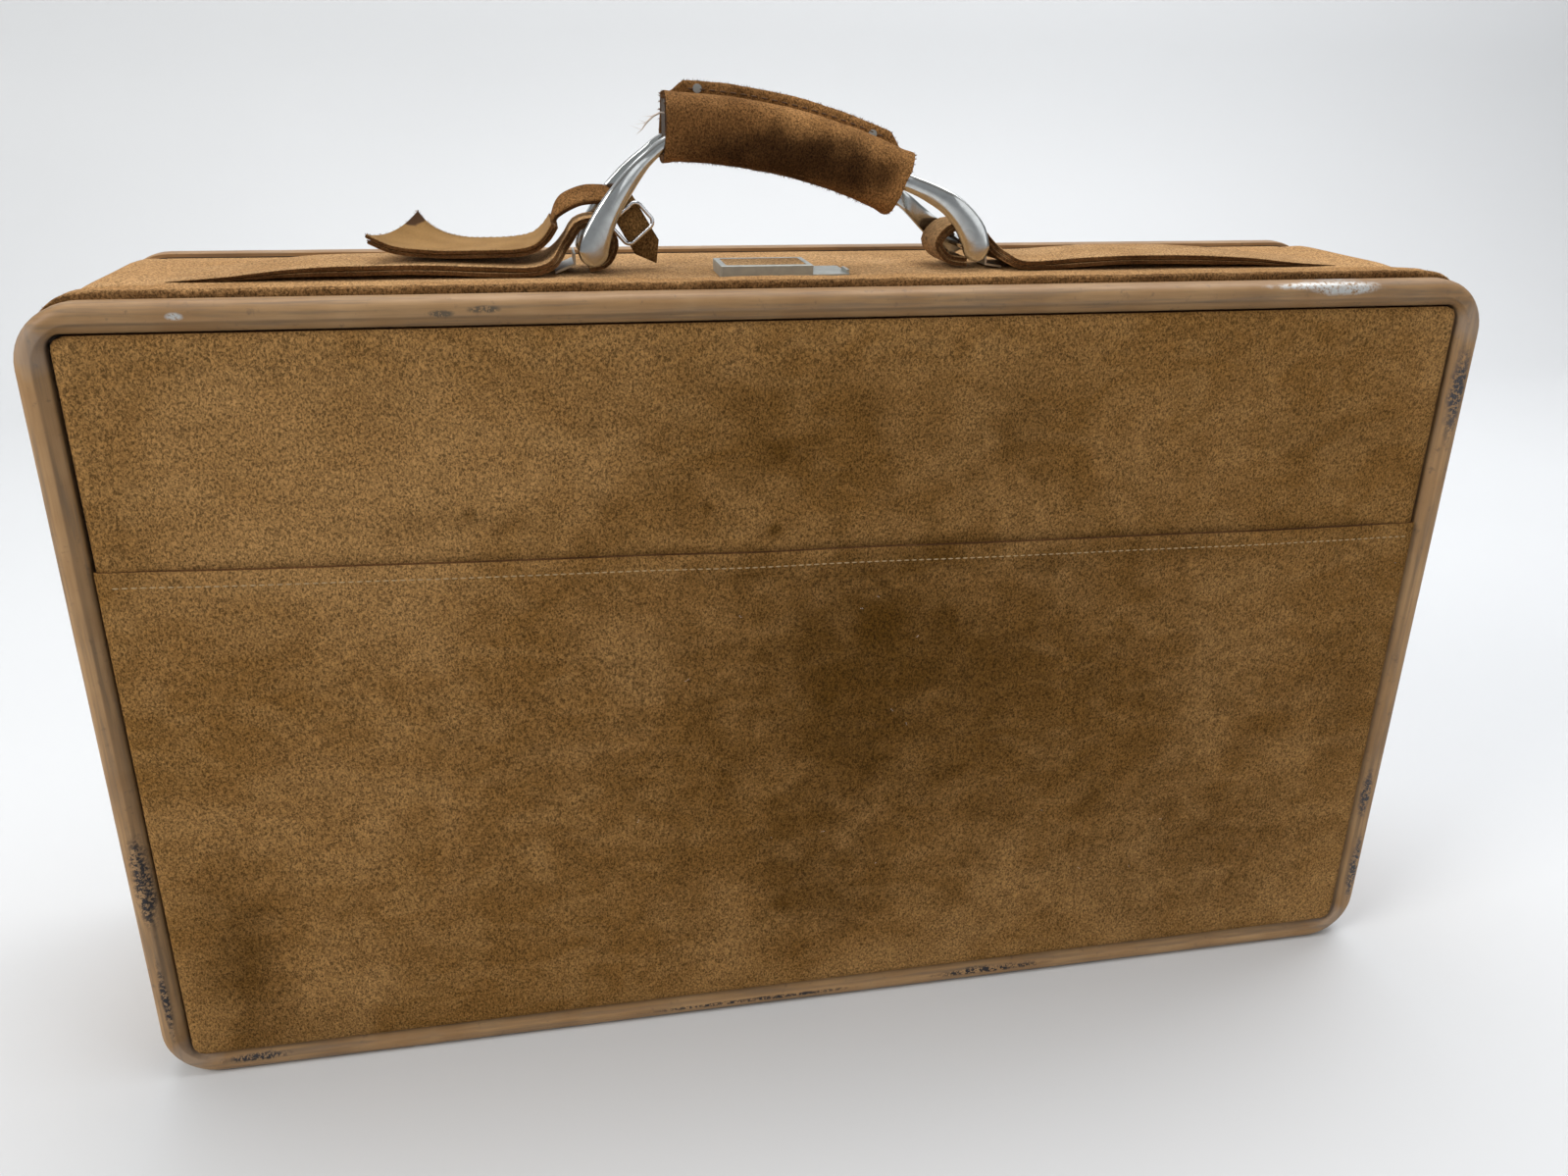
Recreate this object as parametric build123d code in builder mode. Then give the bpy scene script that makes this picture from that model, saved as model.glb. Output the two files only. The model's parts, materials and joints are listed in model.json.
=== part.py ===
"""Suede-covered travel case with aluminium edge frames, a zipped front door and a top handle.

Millimetres, +X right, +Y back, +Z up. The origin is on the floor, under the middle of the case.
"""
from build123d import *
from math import cos, radians, sin
import os

# ---- Case: driving dimensions
case_w = 610.0
case_h = 356.0
case_d = 152.0
corner_r = 24.0          # outer corners of both frames
front_y = -case_d / 2    # the front frame's face
back_y = case_d / 2      # the back frame's face

# ---- Frame rail: a channel that opens away from its face
rail_w = 11.4            # across the face
rail_d = 11.8            # depth, from the face
rail_wall = 2.0
rail_edge_r = 4.5        # outer rounded edge
rail_flat_w = 7.0        # from the outside to the ridge where the face slopes in
rail_slope_d = 3.8
lip_corner_r = 6.0       # inner corners of the face, tighter than the ridge's
channel_top = 3.9        # from the face to the channel's ceiling
inner_wall_end = 8.8     # from the face to the free edge of the inner wall

# ---- Panels inside the frames, as depths from the face
board_t = 3.0
pad_t = 5.0
suede_t = 1.5
panel_inset_x = 14.0     # from the outside of the frame to the edge of the suede panel
panel_inset_z = 12.4
panel_corner_r = 4.5
pocket_t = 1.8
pocket_gap = 0.2
pocket_left_z = 252.6    # top edge of the pocket, at the left and at the right
pocket_right_z = 241.6

# ---- Body: a rigid boxing with suede outside and lining inside, as insets from the outside
band_inset = 1.2
shell_inset = band_inset + suede_t
shell_t = 3.8
lining_inset = shell_inset + shell_t
lining_t = 0.8
shell_front_y = -57.0
door_rear_y = front_y + rail_d
flap_t = 1.2
flap_front_y = door_rear_y + 0.6
flap_rear_y = -48.0

# ---- Zip: two chains beside each other in the recess between door and body
zip_end_z = 30.0
flap_end_z = 8.0
zip_y = (door_rear_y + shell_front_y) / 2
chain_gap = 1.4
chain_w = 1.6
chain_insets = (3.6, 6.0)
tape_insets = (4.4, 5.2)
slider_l = 12.0
slider_w = 5.2
slider_insets = (2.5, 3.4, 6.2, 7.1)
slider_post = (4.0, 1.0)
slider_x = 12.0
pull_l = 18.0
pull_w = 4.6
pull_t = 0.8

# ---- Hinge: one long butt hinge inside the bottom edge
hinge_y = door_rear_y + 2.2
hinge_z = 2.2
knuckle_r = 2.0
pin_r = 1.0
pin_clear = 0.05
hinge_l = 500.0
knuckle_pitch = 25.0
knuckle_l = 24.6
leaf_t = 1.0
door_leaf_top = 22.0
body_leaf_t = 1.2
body_leaf_rear_y = -36.0
rivet_pitch = 50.0
rivet_r = 1.5
rivet_clear = 0.05
rivet_head_r = 2.6
rivet_head_t = 0.7

# ---- Lock, on top
lock_y = -17.0
plate_x = (-36.9, 20.0)
plate_w = 26.0
plate_t = 1.2
cover_x = (-37.0, 3.5)
cover_w = 26.0
cover_t = 3.95
cover_clear = 0.05
inlay_l, inlay_w, inlay_t = 35.5, 21.0, 1.5
inlay_recess = 1.6
key_x = -31.5
key_r = 4.0
key_clear = 0.05
lock_case_l, lock_case_w, lock_case_h = 50.0, 24.0, 9.0
lock_screw_r = 1.2
lock_screw_x = -9.0
lock_screw_pitch = (20.0, 16.0)

# ---- Handle
left_bar = (-90.3, 365.0)
right_bar = (81.6, 364.8)
bar_r = 2.5
plate_gap_half = 14.25   # from the middle to each side plate at the rings
grip_gap_half = 7.25     # and inside the grip
handle_plate_t = 3.5
grip_left = (-57.5, 414.8)
grip_right = (48.0, 391.5)
grip_rise = 5.8          # how far the grip bows above its chord
grip_h = 28.0
grip_w = 27.0
grip_wall = 2.5
core_w = 14.4
flange_y = (5.0, 8.0)     # the upright seam along the top of the wrap
flange_top = 18.0
grip_rivet_r = 1.9
grip_rivet_places = [(-42.0, 430.2), (37.0, 412.2)]

# ---- Straps that hold the handle down
strap_w = 40.0
strap_t = 4.0
fold_w = 21.6
strap_end = 262.0

# ---- Luggage tag
tag_y = (-16.0, 29.0)
tag_layer_t = 1.6
tag_strap_t = 2.0
tag_link_y = (-2.0, 9.5)
tag_strap_w = 11.0
buckle_centre = (-71.5, 374.5)
buckle_turn = -60.0
buckle_l, buckle_w, buckle_wire = 14.5, 15.0, 1.8

band_top = case_h - band_inset
os.makedirs("parts", exist_ok=True)


def keep(body, name):
    """Label one finished piece and write it."""
    body.part.label = name
    export_step(body.part, f"parts/{name}.step")


def case_outline(inset, mode=Mode.ADD):
    """The rounded rectangle of the case, drawn this far in from its outside."""
    with Locations((0, case_h / 2)):
        RectangleRounded(case_w - 2 * inset, case_h - 2 * inset, max(corner_r - inset, 2), mode=mode)


def lip_outline(inset, radius, mode=Mode.ADD):
    """The frame's inner opening, whose corners are tighter than the case's."""
    with Locations((0, case_h / 2)):
        RectangleRounded(case_w - 2 * inset, case_h - 2 * inset, radius, mode=mode)


def panel_outline():
    """The edge of the suede panels, inside the frame."""
    with Locations((0, case_h / 2)):
        RectangleRounded(case_w - 2 * panel_inset_x, case_h - 2 * panel_inset_z, panel_corner_r)


def upright(y_rear):
    """A plane facing forward; extruding from it by t fills y_rear - t to y_rear."""
    return Plane.XZ.offset(-y_rear)


def ring(outer, inner, y_front, y_rear, open_below=0):
    """A hoop that follows the case's outline, left out below a height."""
    with BuildPart() as body:
        with BuildSketch(upright(y_rear)):
            case_outline(outer)
            case_outline(inner, Mode.SUBTRACT)
            if open_below:
                Rectangle(case_w, 2 * open_below, mode=Mode.SUBTRACT)
        extrude(amount=y_rear - y_front)
    return body


def panel(y_front, y_rear):
    """A flat sheet inside the frame."""
    with BuildPart() as body:
        with BuildSketch(upright(y_rear)):
            panel_outline()
        extrude(amount=y_rear - y_front)
    return body


def block(x, y, z):
    """A box between pairs of limits, drawn in whatever part is being built."""
    with Locations(((x[0] + x[1]) / 2, (y[0] + y[1]) / 2, (z[0] + z[1]) / 2)):
        return Box(x[1] - x[0], y[1] - y[0], z[1] - z[0])


# ======================================================== frames
def edge_frame():
    """The front frame: a rounded face, a slope down to the panel and a channel behind."""
    with BuildPart() as frame:
        with BuildSketch(upright(door_rear_y)):
            case_outline(0)
            lip_outline(rail_w, lip_corner_r, Mode.SUBTRACT)
        extrude(amount=rail_d)
        front_edges = frame.faces().sort_by(Axis.Y)[0].outer_wire().edges()
        fillet(front_edges, rail_edge_r)
        with BuildSketch(upright(front_y)):
            case_outline(rail_flat_w)
        with BuildSketch(upright(front_y + rail_slope_d)):
            lip_outline(rail_w, lip_corner_r)
        loft(ruled=True, mode=Mode.SUBTRACT)
        with BuildSketch(upright(door_rear_y)):
            case_outline(rail_wall)
            lip_outline(rail_w - rail_wall, lip_corner_r + rail_wall, Mode.SUBTRACT)
        extrude(amount=rail_d - channel_top, mode=Mode.SUBTRACT)
        with BuildSketch(upright(door_rear_y)):
            lip_outline(rail_w - rail_wall, lip_corner_r + rail_wall)
        extrude(amount=rail_d - inner_wall_end, mode=Mode.SUBTRACT)
    return frame


front_frame = edge_frame()
keep(front_frame, "front_frame")
with BuildPart() as back_frame:
    mirror(front_frame.part, about=Plane.XZ)
keep(back_frame, "back_frame")

# ======================================================== front door
board_front_y = door_rear_y - board_t
pad_front_y = board_front_y - pad_t
suede_front_y = pad_front_y - suede_t
rivet_count = int(hinge_l / rivet_pitch)
door_rivet_z = (door_leaf_top + hinge_z + knuckle_r) / 2 + 2
body_rivet_y = (body_leaf_rear_y + shell_front_y) / 2 - 1

with BuildPart() as front_board:
    with BuildSketch(upright(door_rear_y)):
        case_outline(rail_wall)
        with Locations((0, door_rivet_z)):
            with GridLocations(rivet_pitch, 1, rivet_count, 1):
                Circle(rivet_r + rivet_clear, mode=Mode.SUBTRACT)
    extrude(amount=board_t)
keep(front_board, "front_board")
keep(panel(pad_front_y, board_front_y), "front_pad")
keep(panel(suede_front_y, pad_front_y), "front_suede")

with BuildPart() as pocket_panel:
    with BuildSketch(upright(suede_front_y - pocket_gap)):
        panel_outline()
        with BuildLine():
            left, right = -case_w / 2, case_w / 2
            Polyline(
                (left, pocket_left_z), (right, pocket_right_z), (right, case_h), (left, case_h), close=True
            )
        make_face(mode=Mode.SUBTRACT)
    extrude(amount=pocket_t)
keep(pocket_panel, "pocket_panel")

with BuildPart() as door_lining:
    with BuildSketch(upright(door_rear_y + lining_t)):
        with Locations((0, (door_leaf_top + 2 + case_h - panel_inset_z) / 2)):
            Rectangle(case_w - 2 * panel_inset_x, case_h - panel_inset_z - door_leaf_top - 2)
    extrude(amount=lining_t)
keep(door_lining, "door_lining")

# ======================================================== body
with BuildPart() as back_board:
    with BuildSketch(upright(back_y - rail_d + board_t)):
        case_outline(rail_wall)
    extrude(amount=board_t)
keep(back_board, "back_board")
body_rear_y = back_y - rail_d
keep(panel(body_rear_y + board_t, body_rear_y + board_t + pad_t), "back_pad")
back_suede_y = body_rear_y + board_t + pad_t
keep(panel(back_suede_y, back_suede_y + suede_t), "back_suede")


def cut_lock_holes(z_low):
    """The key hole and the four screw holes, from the outside down to z_low."""
    with BuildSketch(Plane.XY.offset(z_low)) as holes:
        with Locations((key_x, lock_y)):
            Circle(key_r + key_clear)
        with Locations((lock_screw_x, lock_y)):
            with GridLocations(*lock_screw_pitch, 2, 2):
                Circle(lock_screw_r + key_clear)
    extrude(holes.sketch, amount=case_h - z_low + 1, mode=Mode.SUBTRACT)


with BuildPart() as boxing_shell:
    add(ring(shell_inset, lining_inset, shell_front_y, body_rear_y).part)
    with BuildSketch(Plane.XY):
        with Locations((0, body_rivet_y)):
            with GridLocations(rivet_pitch, 1, rivet_count, 1):
                Circle(rivet_r + rivet_clear)
    extrude(amount=lining_inset + 1, mode=Mode.SUBTRACT)
    cut_lock_holes(case_h - lining_inset - 1)
keep(boxing_shell, "boxing_shell")

with BuildPart() as boxing_suede:
    add(ring(band_inset, shell_inset, shell_front_y, body_rear_y).part)
    cut_lock_holes(case_h - shell_inset - 1)
keep(boxing_suede, "boxing_suede")

with BuildPart() as zip_flap:
    add(ring(0, band_inset, flap_front_y, flap_rear_y, open_below=flap_end_z).part)
keep(zip_flap, "zip_flap")

shell_bottom_z = lining_inset
shell_top_z = case_h - lining_inset
with BuildPart() as body_lining:
    with BuildSketch(upright(body_rear_y)):
        case_outline(lining_inset)
    extrude(amount=body_rear_y - shell_front_y)
    with BuildSketch(upright(body_rear_y - lining_t)):
        case_outline(lining_inset + lining_t)
    extrude(amount=body_rear_y - shell_front_y, mode=Mode.SUBTRACT)
    with Locations((0, (shell_front_y + body_leaf_rear_y) / 2, shell_bottom_z)):
        Box(hinge_l + 2, body_leaf_rear_y - shell_front_y + 1, 4, mode=Mode.SUBTRACT)
    with Locations((sum(cover_x) / 2, lock_y, shell_top_z)):
        Box(lock_case_l + 12, lock_case_w + 2, 4, mode=Mode.SUBTRACT)
keep(body_lining, "body_lining")


# ======================================================== hinge
def knuckles(odd):
    """Every second knuckle of the hinge, with the hole for the pin."""
    count = int(hinge_l / knuckle_pitch)
    starts = [-hinge_l / 2 + i * knuckle_pitch for i in range(count) if i % 2 == odd]
    for start in starts:
        with BuildSketch(Plane.YZ.offset(start + (knuckle_pitch - knuckle_l) / 2)) as section:
            with Locations((hinge_y, hinge_z)):
                Circle(knuckle_r)
            if odd:
                with Locations((hinge_y + 1.75, hinge_z + 1.4)):
                    Rectangle(3.5, 1.2)
                with Locations((shell_front_y - 2.1, hinge_z + 1.9)):
                    Rectangle(1.2, 2.2)
            else:
                with Locations((door_rear_y + leaf_t / 2, hinge_z + 1.5)):
                    Rectangle(leaf_t, 3.0)
            with Locations((hinge_y, hinge_z)):
                Circle(pin_r + pin_clear, mode=Mode.SUBTRACT)
        extrude(section.sketch, amount=knuckle_l)


leaf_low_z = hinge_z + knuckle_r + 0.4
with BuildPart() as hinge_leaf_door:
    block((-hinge_l / 2, hinge_l / 2), (door_rear_y, door_rear_y + leaf_t), (leaf_low_z, door_leaf_top))
    knuckles(0)
    with BuildSketch(upright(door_rear_y + leaf_t)):
        with Locations((0, door_rivet_z)):
            with GridLocations(rivet_pitch, 1, rivet_count, 1):
                Circle(rivet_r + rivet_clear)
    extrude(amount=leaf_t, mode=Mode.SUBTRACT)
keep(hinge_leaf_door, "hinge_leaf_door")

web_y = shell_front_y - 2.7
with BuildPart() as hinge_leaf_body:
    leaf_z = (shell_bottom_z, shell_bottom_z + body_leaf_t)
    block((-hinge_l / 2, hinge_l / 2), (web_y, body_leaf_rear_y), leaf_z)
    block((-hinge_l / 2, hinge_l / 2), (web_y, web_y + body_leaf_t), (leaf_low_z, leaf_z[1]))
    knuckles(1)
    with BuildSketch(Plane.XY.offset(shell_bottom_z)):
        with Locations((0, body_rivet_y)):
            with GridLocations(rivet_pitch, 1, rivet_count, 1):
                Circle(rivet_r + rivet_clear)
    extrude(amount=body_leaf_t, mode=Mode.SUBTRACT)
keep(hinge_leaf_body, "hinge_leaf_body")

with BuildPart() as hinge_pin:
    with BuildSketch(Plane.YZ.offset(-hinge_l / 2)):
        with Locations((hinge_y, hinge_z)):
            Circle(pin_r)
    extrude(amount=hinge_l)
keep(hinge_pin, "hinge_pin")

with BuildPart() as hinge_rivets_door:
    for radius, y_rear, depth in (
        (rivet_r, door_rear_y + leaf_t, leaf_t + board_t),
        (rivet_head_r, door_rear_y + leaf_t + rivet_head_t, rivet_head_t),
    ):
        with BuildSketch(upright(y_rear)):
            with Locations((0, door_rivet_z)):
                with GridLocations(rivet_pitch, 1, rivet_count, 1):
                    Circle(radius)
        extrude(amount=depth)
keep(hinge_rivets_door, "hinge_rivets_door")

with BuildPart() as hinge_rivets_body:
    for radius, z_low, height in (
        (rivet_r, shell_inset, shell_t + body_leaf_t),
        (rivet_head_r, shell_bottom_z + body_leaf_t, rivet_head_t),
    ):
        with BuildSketch(Plane.XY.offset(z_low)):
            with Locations((0, body_rivet_y)):
                with GridLocations(rivet_pitch, 1, rivet_count, 1):
                    Circle(radius)
        extrude(amount=height)
keep(hinge_rivets_body, "hinge_rivets_body")

# ======================================================== zip
door_chain_y = (zip_y - chain_gap / 2 - chain_w, zip_y - chain_gap / 2)
body_chain_y = (zip_y + chain_gap / 2, zip_y + chain_gap / 2 + chain_w)
keep(ring(*chain_insets, *door_chain_y, open_below=zip_end_z), "zip_chain_door")
keep(ring(*chain_insets, *body_chain_y, open_below=zip_end_z), "zip_chain_body")
keep(ring(*tape_insets, door_rear_y, door_chain_y[0], open_below=zip_end_z), "zip_tape_door")
keep(ring(*tape_insets, body_chain_y[1], shell_front_y, open_below=zip_end_z), "zip_tape_body")

for side, name in ((-1, "left"), (1, "right")):
    middle = side * slider_x
    across = (zip_y - slider_w / 2, zip_y + slider_w / 2)
    along = (middle - slider_l / 2, middle + slider_l / 2)
    with BuildPart() as zip_slider:
        heights = [case_h - inset for inset in slider_insets]
        block(along, across, (heights[1], heights[0]))
        block(along, across, (heights[3], heights[2]))
        with Locations((middle, zip_y, (heights[1] + heights[2]) / 2)):
            Box(slider_post[0], slider_post[1], heights[1] - heights[2])
        fillet(zip_slider.edges().filter_by(Axis.Z).group_by(SortBy.LENGTH)[0], 0.8)
    keep(zip_slider, f"zip_slider_{name}")
    with BuildPart() as zip_pull:
        with BuildSketch(Plane.XY.offset(case_h - slider_insets[0])):
            with Locations((middle + side * pull_l / 3, zip_y)):
                RectangleRounded(pull_l, pull_w, 1.5)
            with Locations((middle + side * pull_l * 0.65, zip_y)):
                Circle(1.2, mode=Mode.SUBTRACT)
        extrude(amount=pull_t)
    keep(zip_pull, f"zip_pull_{name}")

# ======================================================== lock
plate_top = band_top + plate_t
with BuildPart() as lock_plate:
    plate_y = (lock_y - plate_w / 2, lock_y + plate_w / 2)
    block(plate_x, plate_y, (band_top, plate_top))
    fillet(lock_plate.edges().filter_by(Axis.Z), 1.5)
    block((plate_x[1] - 1.2, plate_x[1]), (plate_y[0] + 2, plate_y[0] + 12), (plate_top, plate_top + 1.6))
    cut_lock_holes(band_top - 1)
keep(lock_plate, "lock_plate")

with BuildPart() as lock_cover:
    cover_z = (plate_top + cover_clear, plate_top + cover_clear + cover_t)
    block(cover_x, (lock_y - cover_w / 2, lock_y + cover_w / 2), cover_z)
    fillet(lock_cover.edges().filter_by(Axis.Z), 0.5)
    chamfer(lock_cover.faces().sort_by(Axis.Z)[-1].edges(), 0.25)
    with BuildSketch(Plane.XY.offset(cover_z[1])):
        with Locations((sum(cover_x) / 2, lock_y)):
            RectangleRounded(inlay_l, inlay_w, 0.8)
    extrude(amount=-inlay_recess, mode=Mode.SUBTRACT)
keep(lock_cover, "lock_cover")

with BuildPart() as lock_inlay:
    with BuildSketch(Plane.XY.offset(cover_z[1] - inlay_recess)):
        with Locations((sum(cover_x) / 2, lock_y)):
            RectangleRounded(inlay_l - 0.2, inlay_w - 0.2, 0.7)
    extrude(amount=inlay_t)
keep(lock_inlay, "lock_inlay")

lock_case_z = shell_top_z - lock_case_h
with BuildPart() as lock_case:
    with Locations((sum(cover_x) / 2, lock_y, shell_top_z - lock_case_h / 2)):
        Box(lock_case_l, lock_case_w, lock_case_h)
    fillet(lock_case.edges().filter_by(Axis.Z), 2)
    cut_lock_holes(lock_case_z + 1.5)
keep(lock_case, "lock_case")

with BuildPart() as lock_cylinder:
    with BuildSketch(Plane.XY.offset(lock_case_z + 1.6)):
        with Locations((key_x, lock_y)):
            Circle(key_r)
    extrude(amount=plate_top - lock_case_z - 1.6)
    with Locations((key_x, lock_y, plate_top)):
        Box(5.0, 1.1, 6.0, mode=Mode.SUBTRACT)
keep(lock_cylinder, "lock_cylinder")

with BuildPart() as lock_screws:
    with BuildSketch(Plane.XY.offset(lock_case_z + 1.6)):
        with Locations((lock_screw_x, lock_y)):
            with GridLocations(*lock_screw_pitch, 2, 2):
                Circle(lock_screw_r)
    extrude(amount=plate_top - lock_case_z - 1.6)
keep(lock_screws, "lock_screws")


# ======================================================== handle
def bent_plate(side):
    """A sheet that stands 14 mm off the middle at the rings and closes to 7 mm in the grip."""
    far, near = side * plate_gap_half, side * grip_gap_half
    with BuildSketch(Plane.XY.offset(350)) as plan:
        with BuildLine():
            Line((-100, far), (-84, far))
            Spline((-84, far), (-61, near), tangents=((1, 0), (1, 0)))
            Line((-61, near), (53, near))
            Spline((53, near), (70, far), tangents=((1, 0), (1, 0)))
            Line((70, far), (100, far))
            far += side * handle_plate_t
            near += side * handle_plate_t
            Polyline((100, far - side * handle_plate_t), (100, far), (70, far))
            Spline((70, far), (53, near), tangents=((-1, 0), (-1, 0)))
            Line((53, near), (-61, near))
            Spline((-61, near), (-84, far), tangents=((-1, 0), (-1, 0)))
            Polyline((-84, far), (-100, far), (-100, far - side * handle_plate_t))
        make_face()
    extrude(plan.sketch, amount=80, mode=Mode.INTERSECT)


def handle_plate(side, outer, right_end, inner):
    """One arched side plate: the outer edge, the round end at the right, the inner edge back."""
    with BuildPart() as body:
        with BuildSketch(Plane.XZ):
            with BuildLine():
                Spline(*outer)
                ThreePointArc(outer[-1], right_end, inner[0])
                Spline(*inner)
                ThreePointArc(inner[-1], (-90.3, 358.6), outer[0])
            make_face()
            for bar in (left_bar, right_bar):
                with Locations(bar):
                    Circle(bar_r + 0.05, mode=Mode.SUBTRACT)
        extrude(amount=30, both=True)
        bent_plate(side)
    return body


left_outer = [(-96.8, 365), (-93.8, 373.8), (-83.2, 389.6), (-67.6, 404.6), (-50, 413.2)]
left_inner = [(-50, 406.4), (-62, 401.6), (-73.7, 386.8), (-80.4, 375.5), (-83.7, 365)]
front_right_outer = [(-5, 410.5), (44, 398.4), (65.7, 390.6), (76.6, 383.9), (85.3, 374.4), (88.2, 365)]
front_right_inner = [(75.6, 365), (70.2, 374.4), (61.6, 382.6), (44, 390.6), (-5, 403)]
rear_right_outer = [(-5, 406), (44, 392.6), (54.9, 387.1), (66, 379.6), (76.2, 372.6), (86.8, 363.6)]
rear_right_inner = [(75.6, 361.2), (72.6, 362.6), (60.7, 373), (50.1, 381.6), (40, 386.4), (-5, 398.6)]
front_tip, rear_tip = (82.2, 358.6), (82.0, 358.6)
front_plate = handle_plate(-1, left_outer + front_right_outer, front_tip, front_right_inner + left_inner)
keep(front_plate, "handle_plate_front")
rear_plate = handle_plate(1, left_outer + rear_right_outer, rear_tip, rear_right_inner + left_inner)
keep(rear_plate, "handle_plate_rear")

for bar, name in ((left_bar, "left"), (right_bar, "right")):
    half = plate_gap_half + handle_plate_t
    with BuildPart() as handle_bar:
        with BuildSketch(upright(half)):
            with Locations(bar):
                Circle(bar_r)
        extrude(amount=2 * half)
    keep(handle_bar, f"handle_bar_{name}")


def grip_arc(offset):
    """Three points of the grip's bow, this far above its middle line."""
    (x0, z0), (x1, z1) = grip_left, grip_right
    length = ((x1 - x0) ** 2 + (z1 - z0) ** 2) ** 0.5
    radius = ((length / 2) ** 2 + grip_rise**2) / (2 * grip_rise)
    across = ((z0 - z1) / length, (x1 - x0) / length)
    centre = (
        (x0 + x1) / 2 - across[0] * (radius - grip_rise),
        (z0 + z1) / 2 - across[1] * (radius - grip_rise),
    )
    scale = (radius + offset) / radius
    middle = (centre[0] + across[0] * radius, centre[1] + across[1] * radius)
    return [
        (centre[0] + (x - centre[0]) * scale, centre[1] + (z - centre[1]) * scale)
        for x, z in (grip_left, middle, grip_right)
    ]


def grip_band(low_edge, top_edge, mode=Mode.ADD):
    """The side view of the grip between two heights above its middle line."""
    top = grip_arc(top_edge)
    low = grip_arc(low_edge)
    with BuildLine() as outline:
        ThreePointArc(*top)
        Line(top[2], low[2])
        ThreePointArc(*reversed(low))
        Line(low[0], top[0])
    make_face(outline.edges(), mode=mode)


with BuildPart() as grip_wrap:
    with BuildSketch(upright(grip_w / 2)):
        grip_band(-grip_h / 2, grip_h / 2)
    extrude(amount=grip_w)
    fillet(grip_wrap.edges().filter_by(GeomType.CIRCLE), 8)
    with BuildSketch(upright(flange_y[1])):
        grip_band(grip_h / 2 - 1.5, flange_top)
    extrude(amount=flange_y[1] - flange_y[0])
    with BuildSketch(upright(flange_y[1] + 1)):
        with Locations(*grip_rivet_places):
            Circle(grip_rivet_r + 0.05)
    extrude(amount=flange_y[1] - flange_y[0] + 2, mode=Mode.SUBTRACT)
    cavity = grip_h / 2 - grip_wall
    with BuildSketch(upright(grip_w / 2 - grip_wall)):
        grip_band(-cavity, cavity)
    extrude(amount=grip_w - 2 * grip_wall, mode=Mode.SUBTRACT)
keep(grip_wrap, "grip_wrap")

with BuildPart() as grip_core:
    with BuildSketch(upright(core_w / 2)):
        grip_band(0.2 - cavity, cavity - 0.2)
    extrude(amount=core_w)
keep(grip_core, "grip_core")

with BuildPart() as grip_rivets:
    with BuildSketch(upright(flange_y[1] + 0.6)):
        with Locations(*grip_rivet_places):
            Circle(grip_rivet_r)
    extrude(amount=flange_y[1] - flange_y[0] + 1.2)
keep(grip_rivets, "grip_rivets")


# ======================================================== straps and their plates
def strap(path, x_wide, lip, foot):
    """A strap with the fold round the handle's bar, and the small bent plate beside it."""
    with BuildPart() as body:
        with BuildSketch(upright(strap_w / 2)):
            with BuildLine():
                Spline(*path)
            trace(line_width=strap_t)
        extrude(amount=strap_w)
        towards_end = 1 if x_wide > 0 else -1
        for y in (-1, 1):
            with Locations((x_wide - towards_end * 25, y * (fold_w / 2 + 10), 366)):
                Box(50, 20, 40, mode=Mode.SUBTRACT)
    with BuildPart() as clip:
        with BuildSketch(upright(fold_w / 2)):
            with BuildLine():
                Polyline(lip, (lip[0], lip[1] - 4.5), foot)
            trace(line_width=0.9)
        extrude(amount=fold_w)
    return body, clip


strap_mid_z = band_top + strap_t / 2 + 0.4
right_path = [
    (strap_end, strap_mid_z + 0.3), (200, 360.8), (135, 359.6), (107, strap_mid_z + 0.6), (97.5, 360),
    (90.2, 366.4), (83.5, 372.6), (72.5, 373.1), (66, 366), (71, 359.4), (80, strap_mid_z + 0.2),
]
left_path = [
    (-strap_end, strap_mid_z + 0.3), (-200, 360.8), (-150, 359.8), (-118, strap_mid_z + 0.3), (-108, 360.2),
    (-100.8, 368.4), (-95.6, 375.2), (-86.5, 376), (-81, 368), (-84.5, 359.6), (-92, strap_mid_z),
]
strap_right, strap_plate_right = strap(right_path, 91, (89.0, 361.2), (96.8, band_top + 0.6))
keep(strap_right, "strap_right")
keep(strap_plate_right, "strap_plate_right")
strap_left, strap_plate_left = strap(left_path, -100.5, (-98.2, 363.4), (-106.6, band_top + 0.6))
keep(strap_left, "strap_left")
keep(strap_plate_left, "strap_plate_left")


# ======================================================== luggage tag
def shifted(points, amount):
    """The points of a path, each moved sideways by this much."""
    moved = []
    for i, (x, z) in enumerate(points):
        x0, z0 = points[max(i - 1, 0)]
        x1, z1 = points[min(i + 1, len(points) - 1)]
        length = ((x1 - x0) ** 2 + (z1 - z0) ** 2) ** 0.5
        moved.append((x - (z1 - z0) / length * amount, z + (x1 - x0) / length * amount))
    return moved


tag_path = [
    (-183.5, 371.8), (-173, 366.6), (-160, 365), (-133, 364.8), (-117, 366), (-110, 370), (-106, 375.5)
]
for name, amount in (("tag_top", tag_layer_t / 2 + 0.05), ("tag_bottom", -tag_layer_t / 2 - 0.05)):
    with BuildPart() as tag_layer:
        with BuildSketch(upright(tag_y[1])):
            with BuildLine():
                Spline(*shifted(tag_path, amount))
            trace(line_width=tag_layer_t)
        extrude(amount=tag_y[1] - tag_y[0])
    keep(tag_layer, name)

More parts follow.
